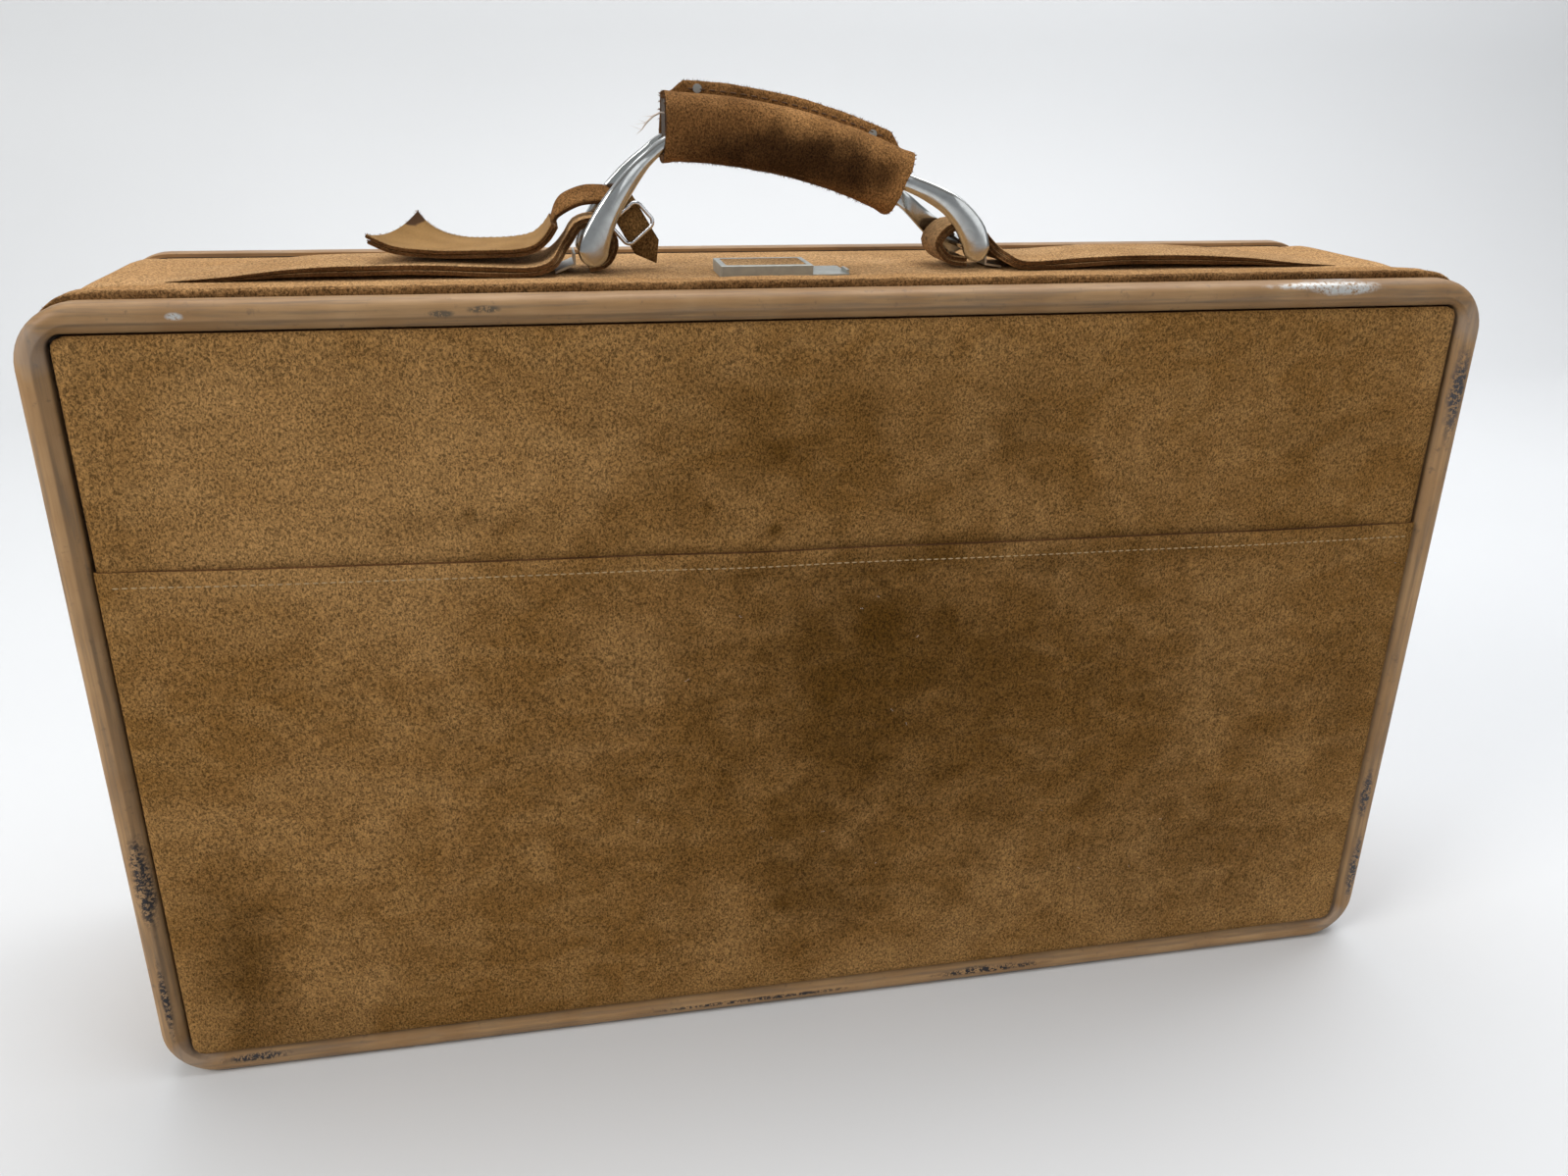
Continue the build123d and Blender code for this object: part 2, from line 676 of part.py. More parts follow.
link_path = [(-106.5, 380.6), (-101, 384.6), (-93, 386.6), (-84, 387.4), (-77.5, 386.2)]
along = (cos(radians(buckle_turn)), sin(radians(buckle_turn)))
with BuildPart() as tag_strap:
    with BuildSketch(upright(tag_link_y[1])):
        with BuildLine():
            Spline(*link_path)
        trace(line_width=tag_strap_t)
    extrude(amount=tag_link_y[1] - tag_link_y[0])
    buckle_origin = (buckle_centre[0], 5, buckle_centre[1])
    flat = Plane(origin=buckle_origin, x_dir=(along[0], 0, along[1]), z_dir=(0, -1, 0))
    with BuildSketch(flat):
        with BuildLine():
            edge = tag_strap_w / 2
            Polyline((-12.5, -edge), (13, -edge), (19.5, 0), (13, edge), (-12.5, edge), close=True)
        make_face()
    extrude(amount=tag_strap_t)
keep(tag_strap, "tag_strap")

with BuildPart() as buckle_frame:
    with BuildSketch(flat.offset(tag_strap_t)):
        RectangleRounded(buckle_l, buckle_w, 3.0)
        RectangleRounded(buckle_l - 2 * buckle_wire, buckle_w - 2 * buckle_wire, 1.4, mode=Mode.SUBTRACT)
    extrude(amount=buckle_wire)
keep(buckle_frame, "buckle_frame")
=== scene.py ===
"""Looks for the suede travel case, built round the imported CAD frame.

Lengths in this script are millimetres in the case's own frame: +X right, +Y back, +Z up.
"""
import json
import math
import random

import bmesh
import bpy
from mathutils import Matrix, Vector, noise


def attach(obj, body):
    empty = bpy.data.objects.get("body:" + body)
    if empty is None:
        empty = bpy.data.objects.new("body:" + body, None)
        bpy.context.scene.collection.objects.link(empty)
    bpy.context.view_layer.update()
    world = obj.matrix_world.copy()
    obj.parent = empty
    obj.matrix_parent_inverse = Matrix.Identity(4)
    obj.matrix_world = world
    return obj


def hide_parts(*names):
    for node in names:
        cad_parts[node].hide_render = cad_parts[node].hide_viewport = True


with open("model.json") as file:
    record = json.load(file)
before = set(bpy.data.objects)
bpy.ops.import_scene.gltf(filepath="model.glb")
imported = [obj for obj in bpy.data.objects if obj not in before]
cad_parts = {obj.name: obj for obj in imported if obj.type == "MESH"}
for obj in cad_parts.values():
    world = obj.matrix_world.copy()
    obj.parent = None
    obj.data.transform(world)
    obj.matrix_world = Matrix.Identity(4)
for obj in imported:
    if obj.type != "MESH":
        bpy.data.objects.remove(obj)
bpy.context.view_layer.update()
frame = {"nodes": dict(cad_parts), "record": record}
nodes = frame["nodes"]
rng = random.Random(20)

MM, PER_METRE = 0.001, 1000.0
CASE_W, CASE_H = 610.0, 356.0
CORNER_R = 24.0
FACE_Y = 76.0  # from the middle of the case to the face of either frame
BAND_FRONT_Y, BAND_REAR_Y = -57.0, 64.2
BAND_U, SHELL_U = 1.2, 2.7  # how far the band's leather and the shell under it lie inside the outline
STRAIGHT_X = CASE_W / 2 - CORNER_R  # where the straight sides end and the corners begin
LOW_Z, HIGH_Z = CORNER_R, CASE_H - CORNER_R


# ============================================================ small tools
def clamp(value, low=0.0, high=1.0):
    return max(low, min(high, value))


def smooth(low, high, value):
    t = clamp((value - low) / (high - low))
    return t * t * (3 - 2 * t)


def wave(x, y, z, size, seed=0.0):
    """Smooth noise from about -1 to 1 whose features are `size` mm across."""
    return noise.noise(Vector((x / size + seed, y / size - seed, z / size + 2 * seed)))


def lerp(a, b, t):
    return a + (b - a) * t


def bell(value, width):
    return math.exp(-((value / width) ** 2))


def arch(v):
    """0 at v = 0 and 1, and 1 halfway."""
    return 1 - (2 * v - 1) ** 2


def rounded(away, radius, depth):
    """How far a rounded edge falls back at this distance from it."""
    return depth * (1 - math.sqrt(max(1 - (1 - clamp(away / radius)) ** 2, 0.0)))


def thinned(v):
    """Sheets are thinner at their two long edges, v = 0 and 1."""
    return 0.7 if v < 0.01 or v > 0.99 else 1.0


def between(track, place):
    """The values of a track at a place that lies between two of its stations."""
    low = min(int(place), len(track) - 2)
    return [lerp(a, b, place - low) for a, b in zip(track[low], track[low + 1])]


def spokes(count):
    """The cosine and sine of evenly spaced angles round a circle."""
    return [(math.cos(2 * math.pi * n / count), math.sin(2 * math.pi * n / count)) for n in range(count)]


def axes(degrees):
    """Unit vectors along and across a direction in the xz plane."""
    angle = math.radians(degrees)
    along = Vector((math.cos(angle), 0, math.sin(angle)))
    return along, Vector((-along.z, 0, along.x))


def in_scene(name, data):
    made = bpy.data.objects.new(name, data)
    bpy.context.scene.collection.objects.link(made)
    return made


# ============================================================ materials
class Paint:
    """A material or world being built: each call adds one shader node and returns its output."""

    def __init__(self, name, owners=bpy.data.materials, shader="Principled BSDF", place="Object"):
        self.material = owners.new(name)
        self.material.use_nodes = True
        self.tree = self.material.node_tree
        self.shader = self.tree.nodes[shader]
        self.where = self.node("TexCoord", out=place)
        self.bumps = []

    def put(self, socket, value):
        """Link a socket to another node's output, or set its value; a colour gets its alpha here."""
        if isinstance(value, bpy.types.NodeSocket):
            self.tree.links.new(value, socket)
        elif socket.type == "RGBA":
            socket.default_value = (*value, 1.0)
        else:
            socket.default_value = value

    def node(self, kind, *values, out=0, **settings):
        made = self.tree.nodes.new("ShaderNode" + kind)
        for key, value in settings.items():
            setattr(made, key, value)
        for socket, value in zip(made.inputs, values):
            self.put(socket, value)
        return made.outputs[out]

    def math(self, operation, a, b=0.0, c=0.0):
        return self.node("Math", a, b, c, operation=operation)

    def times(self, a, b):
        return self.math("MULTIPLY", a, b)

    def vector(self, operation, a, b, out=0):
        return self.node("VectorMath", a, b, out=out, operation=operation)

    def parts(self, vector):
        made = self.tree.nodes.new("ShaderNodeSeparateXYZ")
        self.tree.links.new(vector, made.inputs[0])
        return made.outputs

    def stretched(self, x, y, z):
        return self.vector("MULTIPLY", self.where, (x, y, z))

    def noise(self, size, detail=2.0, rough=0.5, vector=None, twist=0.0):
        """Noise whose features are `size` mm across."""
        scale = PER_METRE / size
        return self.node("TexNoise", vector or self.where, 0.0, scale, detail, rough, 2.0, 0.0, 1.0, twist)

    def span(self, value, low, high, to_low=0.0, to_high=1.0):
        return self.node("MapRange", value, low, high, to_low, to_high)

    def mix(self, factor, a, b, blend="MIX"):
        made = self.tree.nodes.new("ShaderNodeMix")
        made.data_type = "RGBA"
        made.blend_type = blend
        for index, value in ((0, factor), (6, a), (7, b)):
            self.put(made.inputs[index], value)
        return made.outputs[2]

    def shaded(self, color, shade):
        """The colour multiplied by a grey."""
        return self.mix(1.0, color, self.node("CombineColor", shade, shade, shade), blend="MULTIPLY")

    def blob(self, x, z, rx, rz, ragged=0.5, size=14.0, edge=0.55):
        """A soft-edged patch on the front or top: 1 inside, 0 outside."""
        away = self.vector("SUBTRACT", self.where, (x * MM, 0.0, z * MM))
        away = self.vector("MULTIPLY", away, (PER_METRE / rx, 0.0, PER_METRE / rz))
        distance = self.vector("LENGTH", away, (0, 0, 0), out=1)
        edge_noise = self.span(self.noise(size, 3.0), 0.0, 1.0, -ragged, ragged)
        return self.span(self.math("ADD", distance, edge_noise), 1.0, 1.0 - edge)

    def bump(self, height, strength, distance):
        """Stack one bump on the last; distance is in millimetres."""
        made = self.tree.nodes.new("ShaderNodeBump")
        made.inputs["Strength"].default_value = strength
        made.inputs["Distance"].default_value = distance * MM
        self.tree.links.new(height, made.inputs["Height"])
        if self.bumps:
            self.tree.links.new(self.bumps[-1].outputs[0], made.inputs["Normal"])
        self.bumps.append(made)
        self.tree.links.new(made.outputs[0], self.shader.inputs["Normal"])

    def finish(self, color, roughness, **constants):
        for key, value in {"Base Color": color, "Roughness": roughness, **constants}.items():
            self.put(self.shader.inputs[key.replace("_", " ")], value)
        return self.material


def scaled(color, factor):
    return tuple(c * factor for c in color)


def suede(name, base, dark, pale, stains=(), grain=1.0, fuzz=0.12, mottling=1.0):
    """Napped leather: a fine grain, brushed patches a few centimetres across, and any stains."""
    paint = Paint(name)
    grains = paint.noise(1.0 * grain, 2.0, 0.55, vector=paint.stretched(1.15, 1.0, 0.85), twist=0.8)
    brushed = paint.noise(18.0, 2.5, 0.55, vector=paint.stretched(0.7, 1.0, 1.25), twist=0.7)
    blotches = paint.noise(105.0, 3.0, 0.55, twist=0.6)
    color = paint.mix(paint.span(blotches, 0.40, 0.66, 0.55, 0.0), base, dark)
    color = paint.mix(paint.span(blotches, 0.52, 0.72, 0.0, 0.35), color, pale)
    color = paint.mix(paint.span(brushed, 0.42, 0.72, 0.0, 0.34 * mottling), color, pale)
    for x, z, rx, rz, strength in stains:
        patch = paint.blob(x, z, rx, rz, edge=0.8)
        patch = paint.times(patch, paint.span(brushed, 0.3, 0.7, strength, 0.75 * strength))
        color = paint.mix(patch, color, scaled(dark, 0.55))
    color = paint.shaded(color, paint.span(grains, 0.35, 0.65, 0.42, 1.56))
    paint.bump(blotches, 0.2, 2.0)
    paint.bump(brushed, 0.35, 0.8)
    paint.bump(grains, 1.0, 0.7)
    sheen = {"Sheen_Weight": fuzz, "Sheen_Roughness": 0.45, "Sheen_Tint": pale}
    return paint.finish(color, 0.95, Specular_IOR_Level=0.06, **sheen)


SUEDE = (0.258, 0.137, 0.046)
SUEDE_DARK = (0.135, 0.060, 0.008)
SUEDE_PALE = (0.370, 0.212, 0.080)

# stains as x, z, half width, half height, strength
front_stains = [
    (70, 160, 260, 150, 0.62), (30, 186, 110, 70, 0.5), (34, 196, 60, 44, 0.6), (30, 205, 22, 24, 0.45),
    (12, 236, 130, 12, 0.35), (120, 236, 100, 10, 0.3), (6, 62, 42, 30, 0.5), (-4, 92, 34, 44, 0.45),
    (-262, 62, 24, 64, 0.75), (-240, 20, 60, 16, 0.35), (88, 296, 26, 40, 0.4), (40, 300, 120, 44, 0.25),
    (230, 286, 60, 18, 0.3), (272, 150, 24, 100, 0.3), (200, 60, 90, 60, 0.4), (-40, 296, 90, 50, 0.3),
    (-150, 266, 70, 10, 0.25), (12, 216, 56, 30, 0.5), (63, 128, 16, 12, 0.5), (-25, 164, 15, 11, 0.35),
    (16, 142, 34, 56, 0.45),
    (-21, 255, 5.0, 5.0, 0.8), (-50, 266, 4, 4, 0.6), (-19, 290, 6, 7, 0.55), (-148, 268, 4, 4, 0.6),
]
strap_stains = [(71, 368, 17, 15, 0.85), (-84, 366, 8, 10, 0.4)]
grip_stains = [
    (-24, 408, 34, 12, 1.0), (4, 402, 36, 13, 1.0), (24, 395, 24, 11, 1.0), (0, 403, 24, 8, 1.0),
    (-6, 404, 44, 14, 0.8), (14, 398, 38, 13, 0.8),
]
PALETTES = {  # base, dark and pale colour
    "front": (SUEDE, SUEDE_DARK, SUEDE_PALE),
    "back": (SUEDE, SUEDE_DARK, SUEDE_PALE),
    # the band's suede is lighter than the front's: partly its own tone, partly a painted highlight for the
    # sheen on the lit top
    "band": ((0.395, 0.228, 0.099), (0.285, 0.155, 0.062), (0.53, 0.335, 0.165)),
    # the flap's suede is a darker copy of the band's: painted shade on the flap's forward-sloping face
    "flap": ((0.320, 0.175, 0.068), (0.21, 0.105, 0.038), (0.46, 0.27, 0.120)),
    "fringe": ((0.175, 0.090, 0.033), (0.070, 0.032, 0.011), (0.330, 0.185, 0.075)),
    "strap": ((0.36, 0.210, 0.092), (0.25, 0.135, 0.054), (0.50, 0.32, 0.160)),
    # the edge colour is the cut edges' own dark colour; where it lines the rims of the panels and the
    # pocket it is painted shade in the gaps
    "edge": ((0.088, 0.040, 0.014), (0.036, 0.016, 0.006), (0.190, 0.096, 0.038)),
    "grip": ((0.235, 0.112, 0.036), (0.070, 0.030, 0.009), (0.390, 0.205, 0.078)),
    "fibre": ((0.180, 0.085, 0.030), (0.080, 0.036, 0.012), (0.300, 0.160, 0.070)),
}
SUEDE_EXTRAS = {
    "front": {"stains": front_stains, "fuzz": 0.08},
    "fringe": {"grain": 1.1, "mottling": 2.0},
    "strap": {"stains": strap_stains},
    "edge": {"grain": 0.7, "mottling": 1.6},
    "grip": {"stains": grip_stains, "grain": 0.8},
}
suedes = [
    suede(f"suede_{part}", *colors, **SUEDE_EXTRAS.get(part, {})) for part, colors in PALETTES.items()
]
suede_front, suede_back, suede_band_and_sheen, suede_flap_shaded, suede_fringe = suedes[:5]
suede_strap, suede_edge_and_gap_shade, suede_grip, suede_fibre = suedes[5:]


def tan_leather():
    """The smooth side of the leather, on top of the tag."""
    paint = Paint("tan_leather")
    cloud = paint.noise(14.0, 3.0)
    pores = paint.noise(0.7, 2.0)
    color = paint.mix(paint.span(cloud, 0.35, 0.7), (0.215, 0.116, 0.036), (0.270, 0.152, 0.052))
    color = paint.shaded(color, paint.span(pores, 0.3, 0.7, 0.86, 1.1))
    corner = paint.blob(-166, 378.5, 7.5, 6.5, 0.15, 5.0, 0.12)
    color = paint.mix(corner, color, (0.060, 0.028, 0.010))
    paint.bump(cloud, 0.3, 0.6)
    paint.bump(pores, 0.5, 0.2)
    return paint.finish(color, 0.8, Specular_IOR_Level=0.1)


WEAR = {  # strength and colour of each kind of mark on the paint
    "dark": (1.0, (0.020, 0.018, 0.020)),
    "blue": (1.0, (0.040, 0.040, 0.046)),
    "specks": (0.85, (0.062, 0.052, 0.036)),
    "rub": (0.32, (0.30, 0.27, 0.245)),
}


def frame_paint(name, worn):
    """Tan paint on aluminium, streaked along the rails, with scuffs, dark scrapes and bare metal; painted
    shade darkens the rails' inner slope and the top rail, and the lower rails are painted lighter.
    """
    paint = Paint(name)
    x_of, y_of, z_of = paint.parts(paint.where)
    inset_x = paint.math("SUBTRACT", CASE_W / 2 * MM, paint.math("ABSOLUTE", x_of))
    from_middle = paint.math("ABSOLUTE", paint.math("SUBTRACT", z_of, CASE_H / 2 * MM))
    inset_z = paint.math("SUBTRACT", CASE_H / 2 * MM, from_middle)
    across = paint.math("MINIMUM", inset_x, inset_z)
    along = paint.times(paint.math("ADD", x_of, z_of), 0.05)
    lengthwise = paint.node("CombineXYZ", across, y_of, along)
    streaks = paint.noise(2.4, 4.0, 0.65, vector=lengthwise)
    cloud = paint.noise(26.0, 3.0)
    fine = paint.noise(0.9, 2.0)
    color = paint.mix(paint.span(cloud, 0.35, 0.68), (0.262, 0.146, 0.060), (0.325, 0.196, 0.090))
    color = paint.mix(paint.span(streaks, 0.50, 0.66, 0.0, 0.6), color, (0.205, 0.138, 0.084))
    shade = paint.span(streaks, 0.34, 0.64, 1.10, 0.86)
    # Painted shade: the inner slope of each rail is darker, and the paint is painted lighter below the top
    # rail and darker along it, for how the light falls on each.
    slope_and_height_shade = paint.span(across, 7.0 * MM, 8.2 * MM, 1.0, 0.92)
    slope_and_height_shade = paint.times(slope_and_height_shade, paint.span(z_of, 338 * MM, 352 * MM, 1.16, 0.95))
    color = paint.shaded(color, paint.times(shade, slope_and_height_shade))
    ridge = paint.math("ABSOLUTE", paint.math("SUBTRACT", across, 7.5 * MM))
    ridge = paint.span(ridge, 0.9 * MM, 0.2 * MM)
    ridge = paint.times(ridge, paint.span(cloud, 0.4, 0.62, 0.15, 0.45))
    color = paint.mix(ridge, color, (0.100, 0.066, 0.039))
    grime = paint.span(paint.noise(5.0, 4.0, 0.7), 0.60, 0.74, 0.0, 0.55)
    color = paint.mix(grime, color, (0.085, 0.060, 0.042))
    scratch_noise = paint.noise(1.6, 4.0, 0.7)
    bare = None
    for x, z, rx, rz, kind in worn:
        patch = paint.blob(x, z, rx, rz, 0.35, 6.0, 0.5)
        if kind != "rub":
            flecks = paint.span(scratch_noise, 0.38 if kind == "bare" else 0.44, 0.52)
            patch = paint.times(patch, flecks)
        if kind == "bare":
            bare = patch if bare is None else paint.math("MAXIMUM", bare, patch)
            continue
        strength, mark = WEAR[kind]
        if strength < 1:
            patch = paint.times(patch, strength)
        color = paint.mix(patch, color, mark)
    color = paint.mix(bare, color, (0.50, 0.50, 0.48))
    paint.put(paint.shader.inputs["Metallic"], bare)
    roughness = paint.span(streaks, 0.35, 0.65, 0.46, 0.62)
    paint.bump(cloud, 0.15, 0.8)
    paint.bump(streaks, 0.2, 0.25)
    paint.bump(fine, 0.12, 0.08)
    return paint.finish(color, roughness, Specular_IOR_Level=0.32)


# marks as x, z, half width, half height, kind
front_wear = [
    (231, 353.5, 19, 3.4, "bare"), (222, 354.5, 30, 1.6, "bare"), (-246.5, 351, 3.4, 1.6, "bare"),
    (-152, 350, 6.5, 1.7, "specks"), (-136, 351.5, 7.5, 1.5, "specks"), (-298, 108, 4.5, 30, "dark"),
    (-299, 45, 2.0, 25, "dark"), (-265, 7, 18, 2.0, "dark"), (94, 6, 37, 2.2, "dark"),
    (-30, 5, 60, 1.4, "dark"), (299, 305, 4.0, 26, "blue"), (300, 44, 3.0, 24, "blue"),
    (298, 90, 2.5, 18, "blue"), (300, 338, 9, 12, "rub"), (-298, 340, 9, 12, "rub"),
    (-292, 12, 14, 9, "rub"), (292, 12, 14, 9, "rub"),
]
back_wear = [
    (-180, 353, 24, 2.0, "dark"), (120, 352, 16, 1.6, "bare"), (-299, 250, 2.5, 24, "dark"),
    (299, 120, 2.5, 34, "dark"), (40, 5, 60, 2.0, "dark"), (292, 12, 14, 9, "rub"),
    (-292, 12, 14, 9, "rub"), (298, 342, 9, 12, "rub"), (-298, 342, 9, 12, "rub"),
]


def metal(name, color, roughness, metallic=1.0):
    """Bare metal with finger smudges and fine scratches."""
    paint = Paint(name)
    smudges = paint.noise(7.0, 4.0, 0.6, twist=1.0)
    lines = paint.noise(0.5, 3.0, 0.7, vector=paint.stretched(0.12, 1.0, 0.12))
    tone = paint.mix(paint.span(smudges, 0.35, 0.7), color, scaled(color, 0.82))
    rough = paint.span(smudges, 0.3, 0.75, roughness, roughness + 0.12)
    paint.bump(lines, 0.25, 0.03)
    paint.bump(smudges, 0.1, 0.15)
    return paint.finish(tone, rough, Metallic=metallic)


def woven(name, color, pitch=0.9):
    """A plain weave, for the lining and the zip's tapes."""
    paint = Paint(name)
    scale = PER_METRE / pitch / 6.28
    bands = [paint.node("TexWave", paint.where, scale, 0.4, 1.0, 1.0, bands_direction=way) for way in "XZ"]
    weave = paint.times(*bands)
    cloud = paint.noise(20.0, 3.0)
    tone = paint.mix(paint.span(weave, 0.0, 0.7), scaled(color, 0.6), color)
    tone = paint.mix(paint.span(cloud, 0.35, 0.7, 0.0, 0.35), tone, scaled(color, 0.7))
    paint.bump(weave, 0.5, 0.15)
    paint.bump(cloud, 0.3, 0.6)
    return paint.finish(tone, 0.85, Sheen_Weight=0.2)


def fibreboard(name, color):
    """Pressed board or foam: speckled, dull."""
    paint = Paint(name)
    specks = paint.noise(1.2, 3.0, 0.7)
    cloud = paint.noise(30.0, 3.0)
    tone = paint.mix(paint.span(specks, 0.35, 0.65), scaled(color, 0.7), color)
    tone = paint.mix(paint.span(cloud, 0.4, 0.7, 0.0, 0.4), tone, scaled(color, 1.25))
    paint.bump(specks, 0.5, 0.2)
    return paint.finish(tone, 0.9)


paint_front = frame_paint("paint_front", front_wear)
paint_back = frame_paint("paint_back", back_wear)
tag_face = tan_leather()
polished = metal("polished_aluminium", (0.58, 0.59, 0.575), 0.11)
satin = metal("satin_aluminium", (0.46, 0.455, 0.42), 0.32)
buckle_metal = metal("buckle_metal", (0.80, 0.81, 0.83), 0.16)
lock_metal = metal("lock_metal", (0.36, 0.37, 0.335), 0.36, metallic=0.55)
steel = metal("hinge_steel", (0.46, 0.45, 0.43), 0.34)
zip_metal = metal("zip_brass", (0.62, 0.46, 0.22), 0.30)
lining_cloth = woven("lining_cloth", (0.20, 0.125, 0.065))
tape_cloth = woven("tape_cloth", (0.12, 0.075, 0.04), 0.6)
# The board is near black: painted shade for where it shows in the gaps round the suede panels.
board = fibreboard("board", (0.060, 0.040, 0.025))
foam = fibreboard("foam", (0.34, 0.28, 0.18))
thread = fibreboard("thread", (0.40, 0.28, 0.14))
dark_thread = fibreboard("dark_thread", (0.10, 0.05, 0.02))
pale_thread = fibreboard("pale_thread", (0.62, 0.52, 0.44))

finishes = {
    "frame_paint": paint_front, "board": board, "foam": foam, "suede": suede_band_and_sheen,
    "suede_strap": suede_strap, "suede_grip": suede_grip, "tag_leather": tag_face,
    "lining": lining_cloth, "hinge_steel": steel, "rivet": satin, "zip_tape": tape_cloth,
    "zip_metal": zip_metal, "lock_metal": lock_metal, "handle_metal": polished, "core": board,
}
for entry in frame["record"]["subparts"]:
    node = nodes[entry["node"]]
    node.data.materials.clear()
    node.data.materials.append(finishes[entry["material_slot"]])
nodes["lock_inlay"].data.materials[0] = suede_strap
for name in ("strap_plate_left", "strap_plate_right"):
    nodes[name].data.materials[0] = satin


# ============================================================ mesh making
def add_piece(name, shape, materials, body, replaced=(), sharp=35):
    """One mesh that rides on a body.

    shape is its points in millimetres, its faces and, if it has several materials, each face's kind.
    """
    verts, faces, *kinds = shape
    mesh = bpy.data.meshes.new(name)
    mesh.from_pydata([(x * MM, y * MM, z * MM) for x, y, z in verts], [], faces)
    for material in materials:
        mesh.materials.append(material)
    if kinds:
        mesh.polygons.foreach_set("material_index", kinds[0])
    tidy = bmesh.new()
    tidy.from_mesh(mesh)
    bmesh.ops.recalc_face_normals(tidy, faces=tidy.faces)
    tidy.to_mesh(mesh)
    tidy.free()
    mesh.shade_smooth()
    mesh.set_sharp_from_angle(angle=math.radians(sharp))
    piece = in_scene(name, mesh)
    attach(piece, body)
    if replaced:
        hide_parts(*replaced)
    return piece


def skin(rows, ring, start=0, closed=False, caps=True, stride=0):
    """Faces that join rows of ring points, numbered from start, with caps unless the rows close up.

    stride is the count of points from one row to the next, if that is more than the ring.
    """
    faces = []
    stride = stride or ring
    for i in range(rows if closed else rows - 1):
        a, b = start + i * stride, start + (i + 1) % rows * stride
        faces += [(a + j, a + (j + 1) % ring, b + (j + 1) % ring, b + j) for j in range(ring)]
    if caps and not closed:
        last = start + (rows - 1) * stride
        faces += [tuple(range(start, start + ring)), tuple(range(last + ring - 1, last - 1, -1))]
    return faces


def double_grid(rows, columns, start=0):
    """Faces of a grid of points and of a second one behind it, and the numbers of the first one's rim."""
    back = rows * columns
    faces = []
    for i in range(rows - 1):
        for j in range(columns - 1):
            a, b = start + i * columns + j, start + (i + 1) * columns + j
            faces += [(a, a + 1, b + 1, b), (back + a, back + b, back + b + 1, back + a + 1)]
    rim = list(range(columns)) + [i * columns + columns - 1 for i in range(1, rows)]
    rim += [(rows - 1) * columns + j for j in reversed(range(columns - 1))]
    rim += [i * columns for i in reversed(range(1, rows - 1))]
    return faces, [start + n for n in rim]


def sweep(stations, section, closed=False):
    """Skin a closed section along stations of (x, z, nx, nz).

    section(i) gives (y, h) points: h is measured along the station's normal.
    """
    verts = []
    for i, (x, z, nx, nz) in enumerate(stations):
        ring = section(i)
        verts += [(x + nx * h, y, z + nz * h) for y, h in ring]
    return verts, skin(len(stations), len(ring), closed=closed)


def case_stations(step, open_below=None, turns=12):
    """Stations of (x, z, nx, nz) round the case, clockwise from its bottom left corner in a front view.

    The case's outline lies CORNER_R out along each station's normal.
    """
    places = []

    def straight(x0, z0, x1, z1, nx, nz):
        length = math.hypot(x1 - x0, z1 - z0)
        count = max(int(length / step), 1)
        for i in range(1, count):
            places.append((lerp(x0, x1, i / count), lerp(z0, z1, i / count), nx, nz))

    def corner(x, z, start):
        for i in range(turns + 1):
            angle = math.radians(start - 90 * i / turns)
            places.append((x, z, math.cos(angle), math.sin(angle)))

    corner(-STRAIGHT_X, LOW_Z, 270)
    straight(-STRAIGHT_X, LOW_Z, -STRAIGHT_X, HIGH_Z, -1, 0)
    corner(-STRAIGHT_X, HIGH_Z, 180)
    straight(-STRAIGHT_X, HIGH_Z, STRAIGHT_X, HIGH_Z, 0, 1)
    corner(STRAIGHT_X, HIGH_Z, 90)
    straight(STRAIGHT_X, HIGH_Z, STRAIGHT_X, LOW_Z, 1, 0)
    corner(STRAIGHT_X, LOW_Z, 0)
    if open_below is None:
        straight(STRAIGHT_X, LOW_Z, -STRAIGHT_X, LOW_Z, 0, -1)
        return places
    return [p for p in places if p[1] + p[3] * CORNER_R > open_below]


THIRD_TURN = 2.0944  # radians


def needle(verts, faces, base, tip, width):
    """A closed three-sided fibre from base to tip, added to a mesh's lists."""
    along = (tip - base).normalized()
    side = along.orthogonal().normalized()
    start = len(verts)
    for turn in range(3):
        ray = Matrix.Rotation(turn * THIRD_TURN, 3, along) @ side
        verts.append(tuple(base + ray * width))
    verts.append(tuple(tip))
    faces += [(start, start + 1, start + 2)]
    faces += [(start + i, start + 3, start + (i + 1) % 3) for i in range(3)]


def stitch(verts, faces, a, b, out, width, height):
    """A closed six-sided stitch between two points that bows outwards."""
    a, b, out = Vector(a), Vector(b), Vector(out).normalized()
    along = (b - a).normalized()
    across = along.cross(out).normalized()
    start = len(verts)
    rows = 5
    for i in range(rows):
        t = i / (rows - 1)
        centre = a.lerp(b, t) + out * height * math.sin(math.pi * t)
        size = width * (0.45 + 0.55 * math.sin(math.pi * clamp(t, 0.15, 0.85)))
        verts += [tuple(centre + across * size * c + out * size * s) for c, s in spokes(6)]
    faces += skin(rows, 6, start)


# ============================================================ frames
RIDGE_U, LIP_U, LIP_R = 7.0, 11.4, 6.0


def rail_points():
    """The rail's channel as (inset, depth from the face), with softened edges and a crowned face."""
    points = [(0.5, 11.8), (0.12, 11.0), (0.0, 9.4), (0.0, 6.6)]
    for turn in range(8):
        angle = math.radians(90 * turn / 7)
        points.append((4.7 * (1 - math.cos(angle)), 4.9 * (1 - math.sin(angle))))
    points += [(6.4, 0.04), (6.9, 0.12), (7.2, 0.33), (7.5, 0.62), (9.0, 1.95), (10.6, 3.30), (11.2, 3.95)]
    points += [(11.4, 4.8), (11.4, 8.6), (11.1, 8.8), (9.6, 8.8), (9.4, 8.4), (9.4, 4.3), (9.0, 3.9)]
    return points + [(2.4, 3.9), (2.0, 4.3), (2.0, 11.8)]


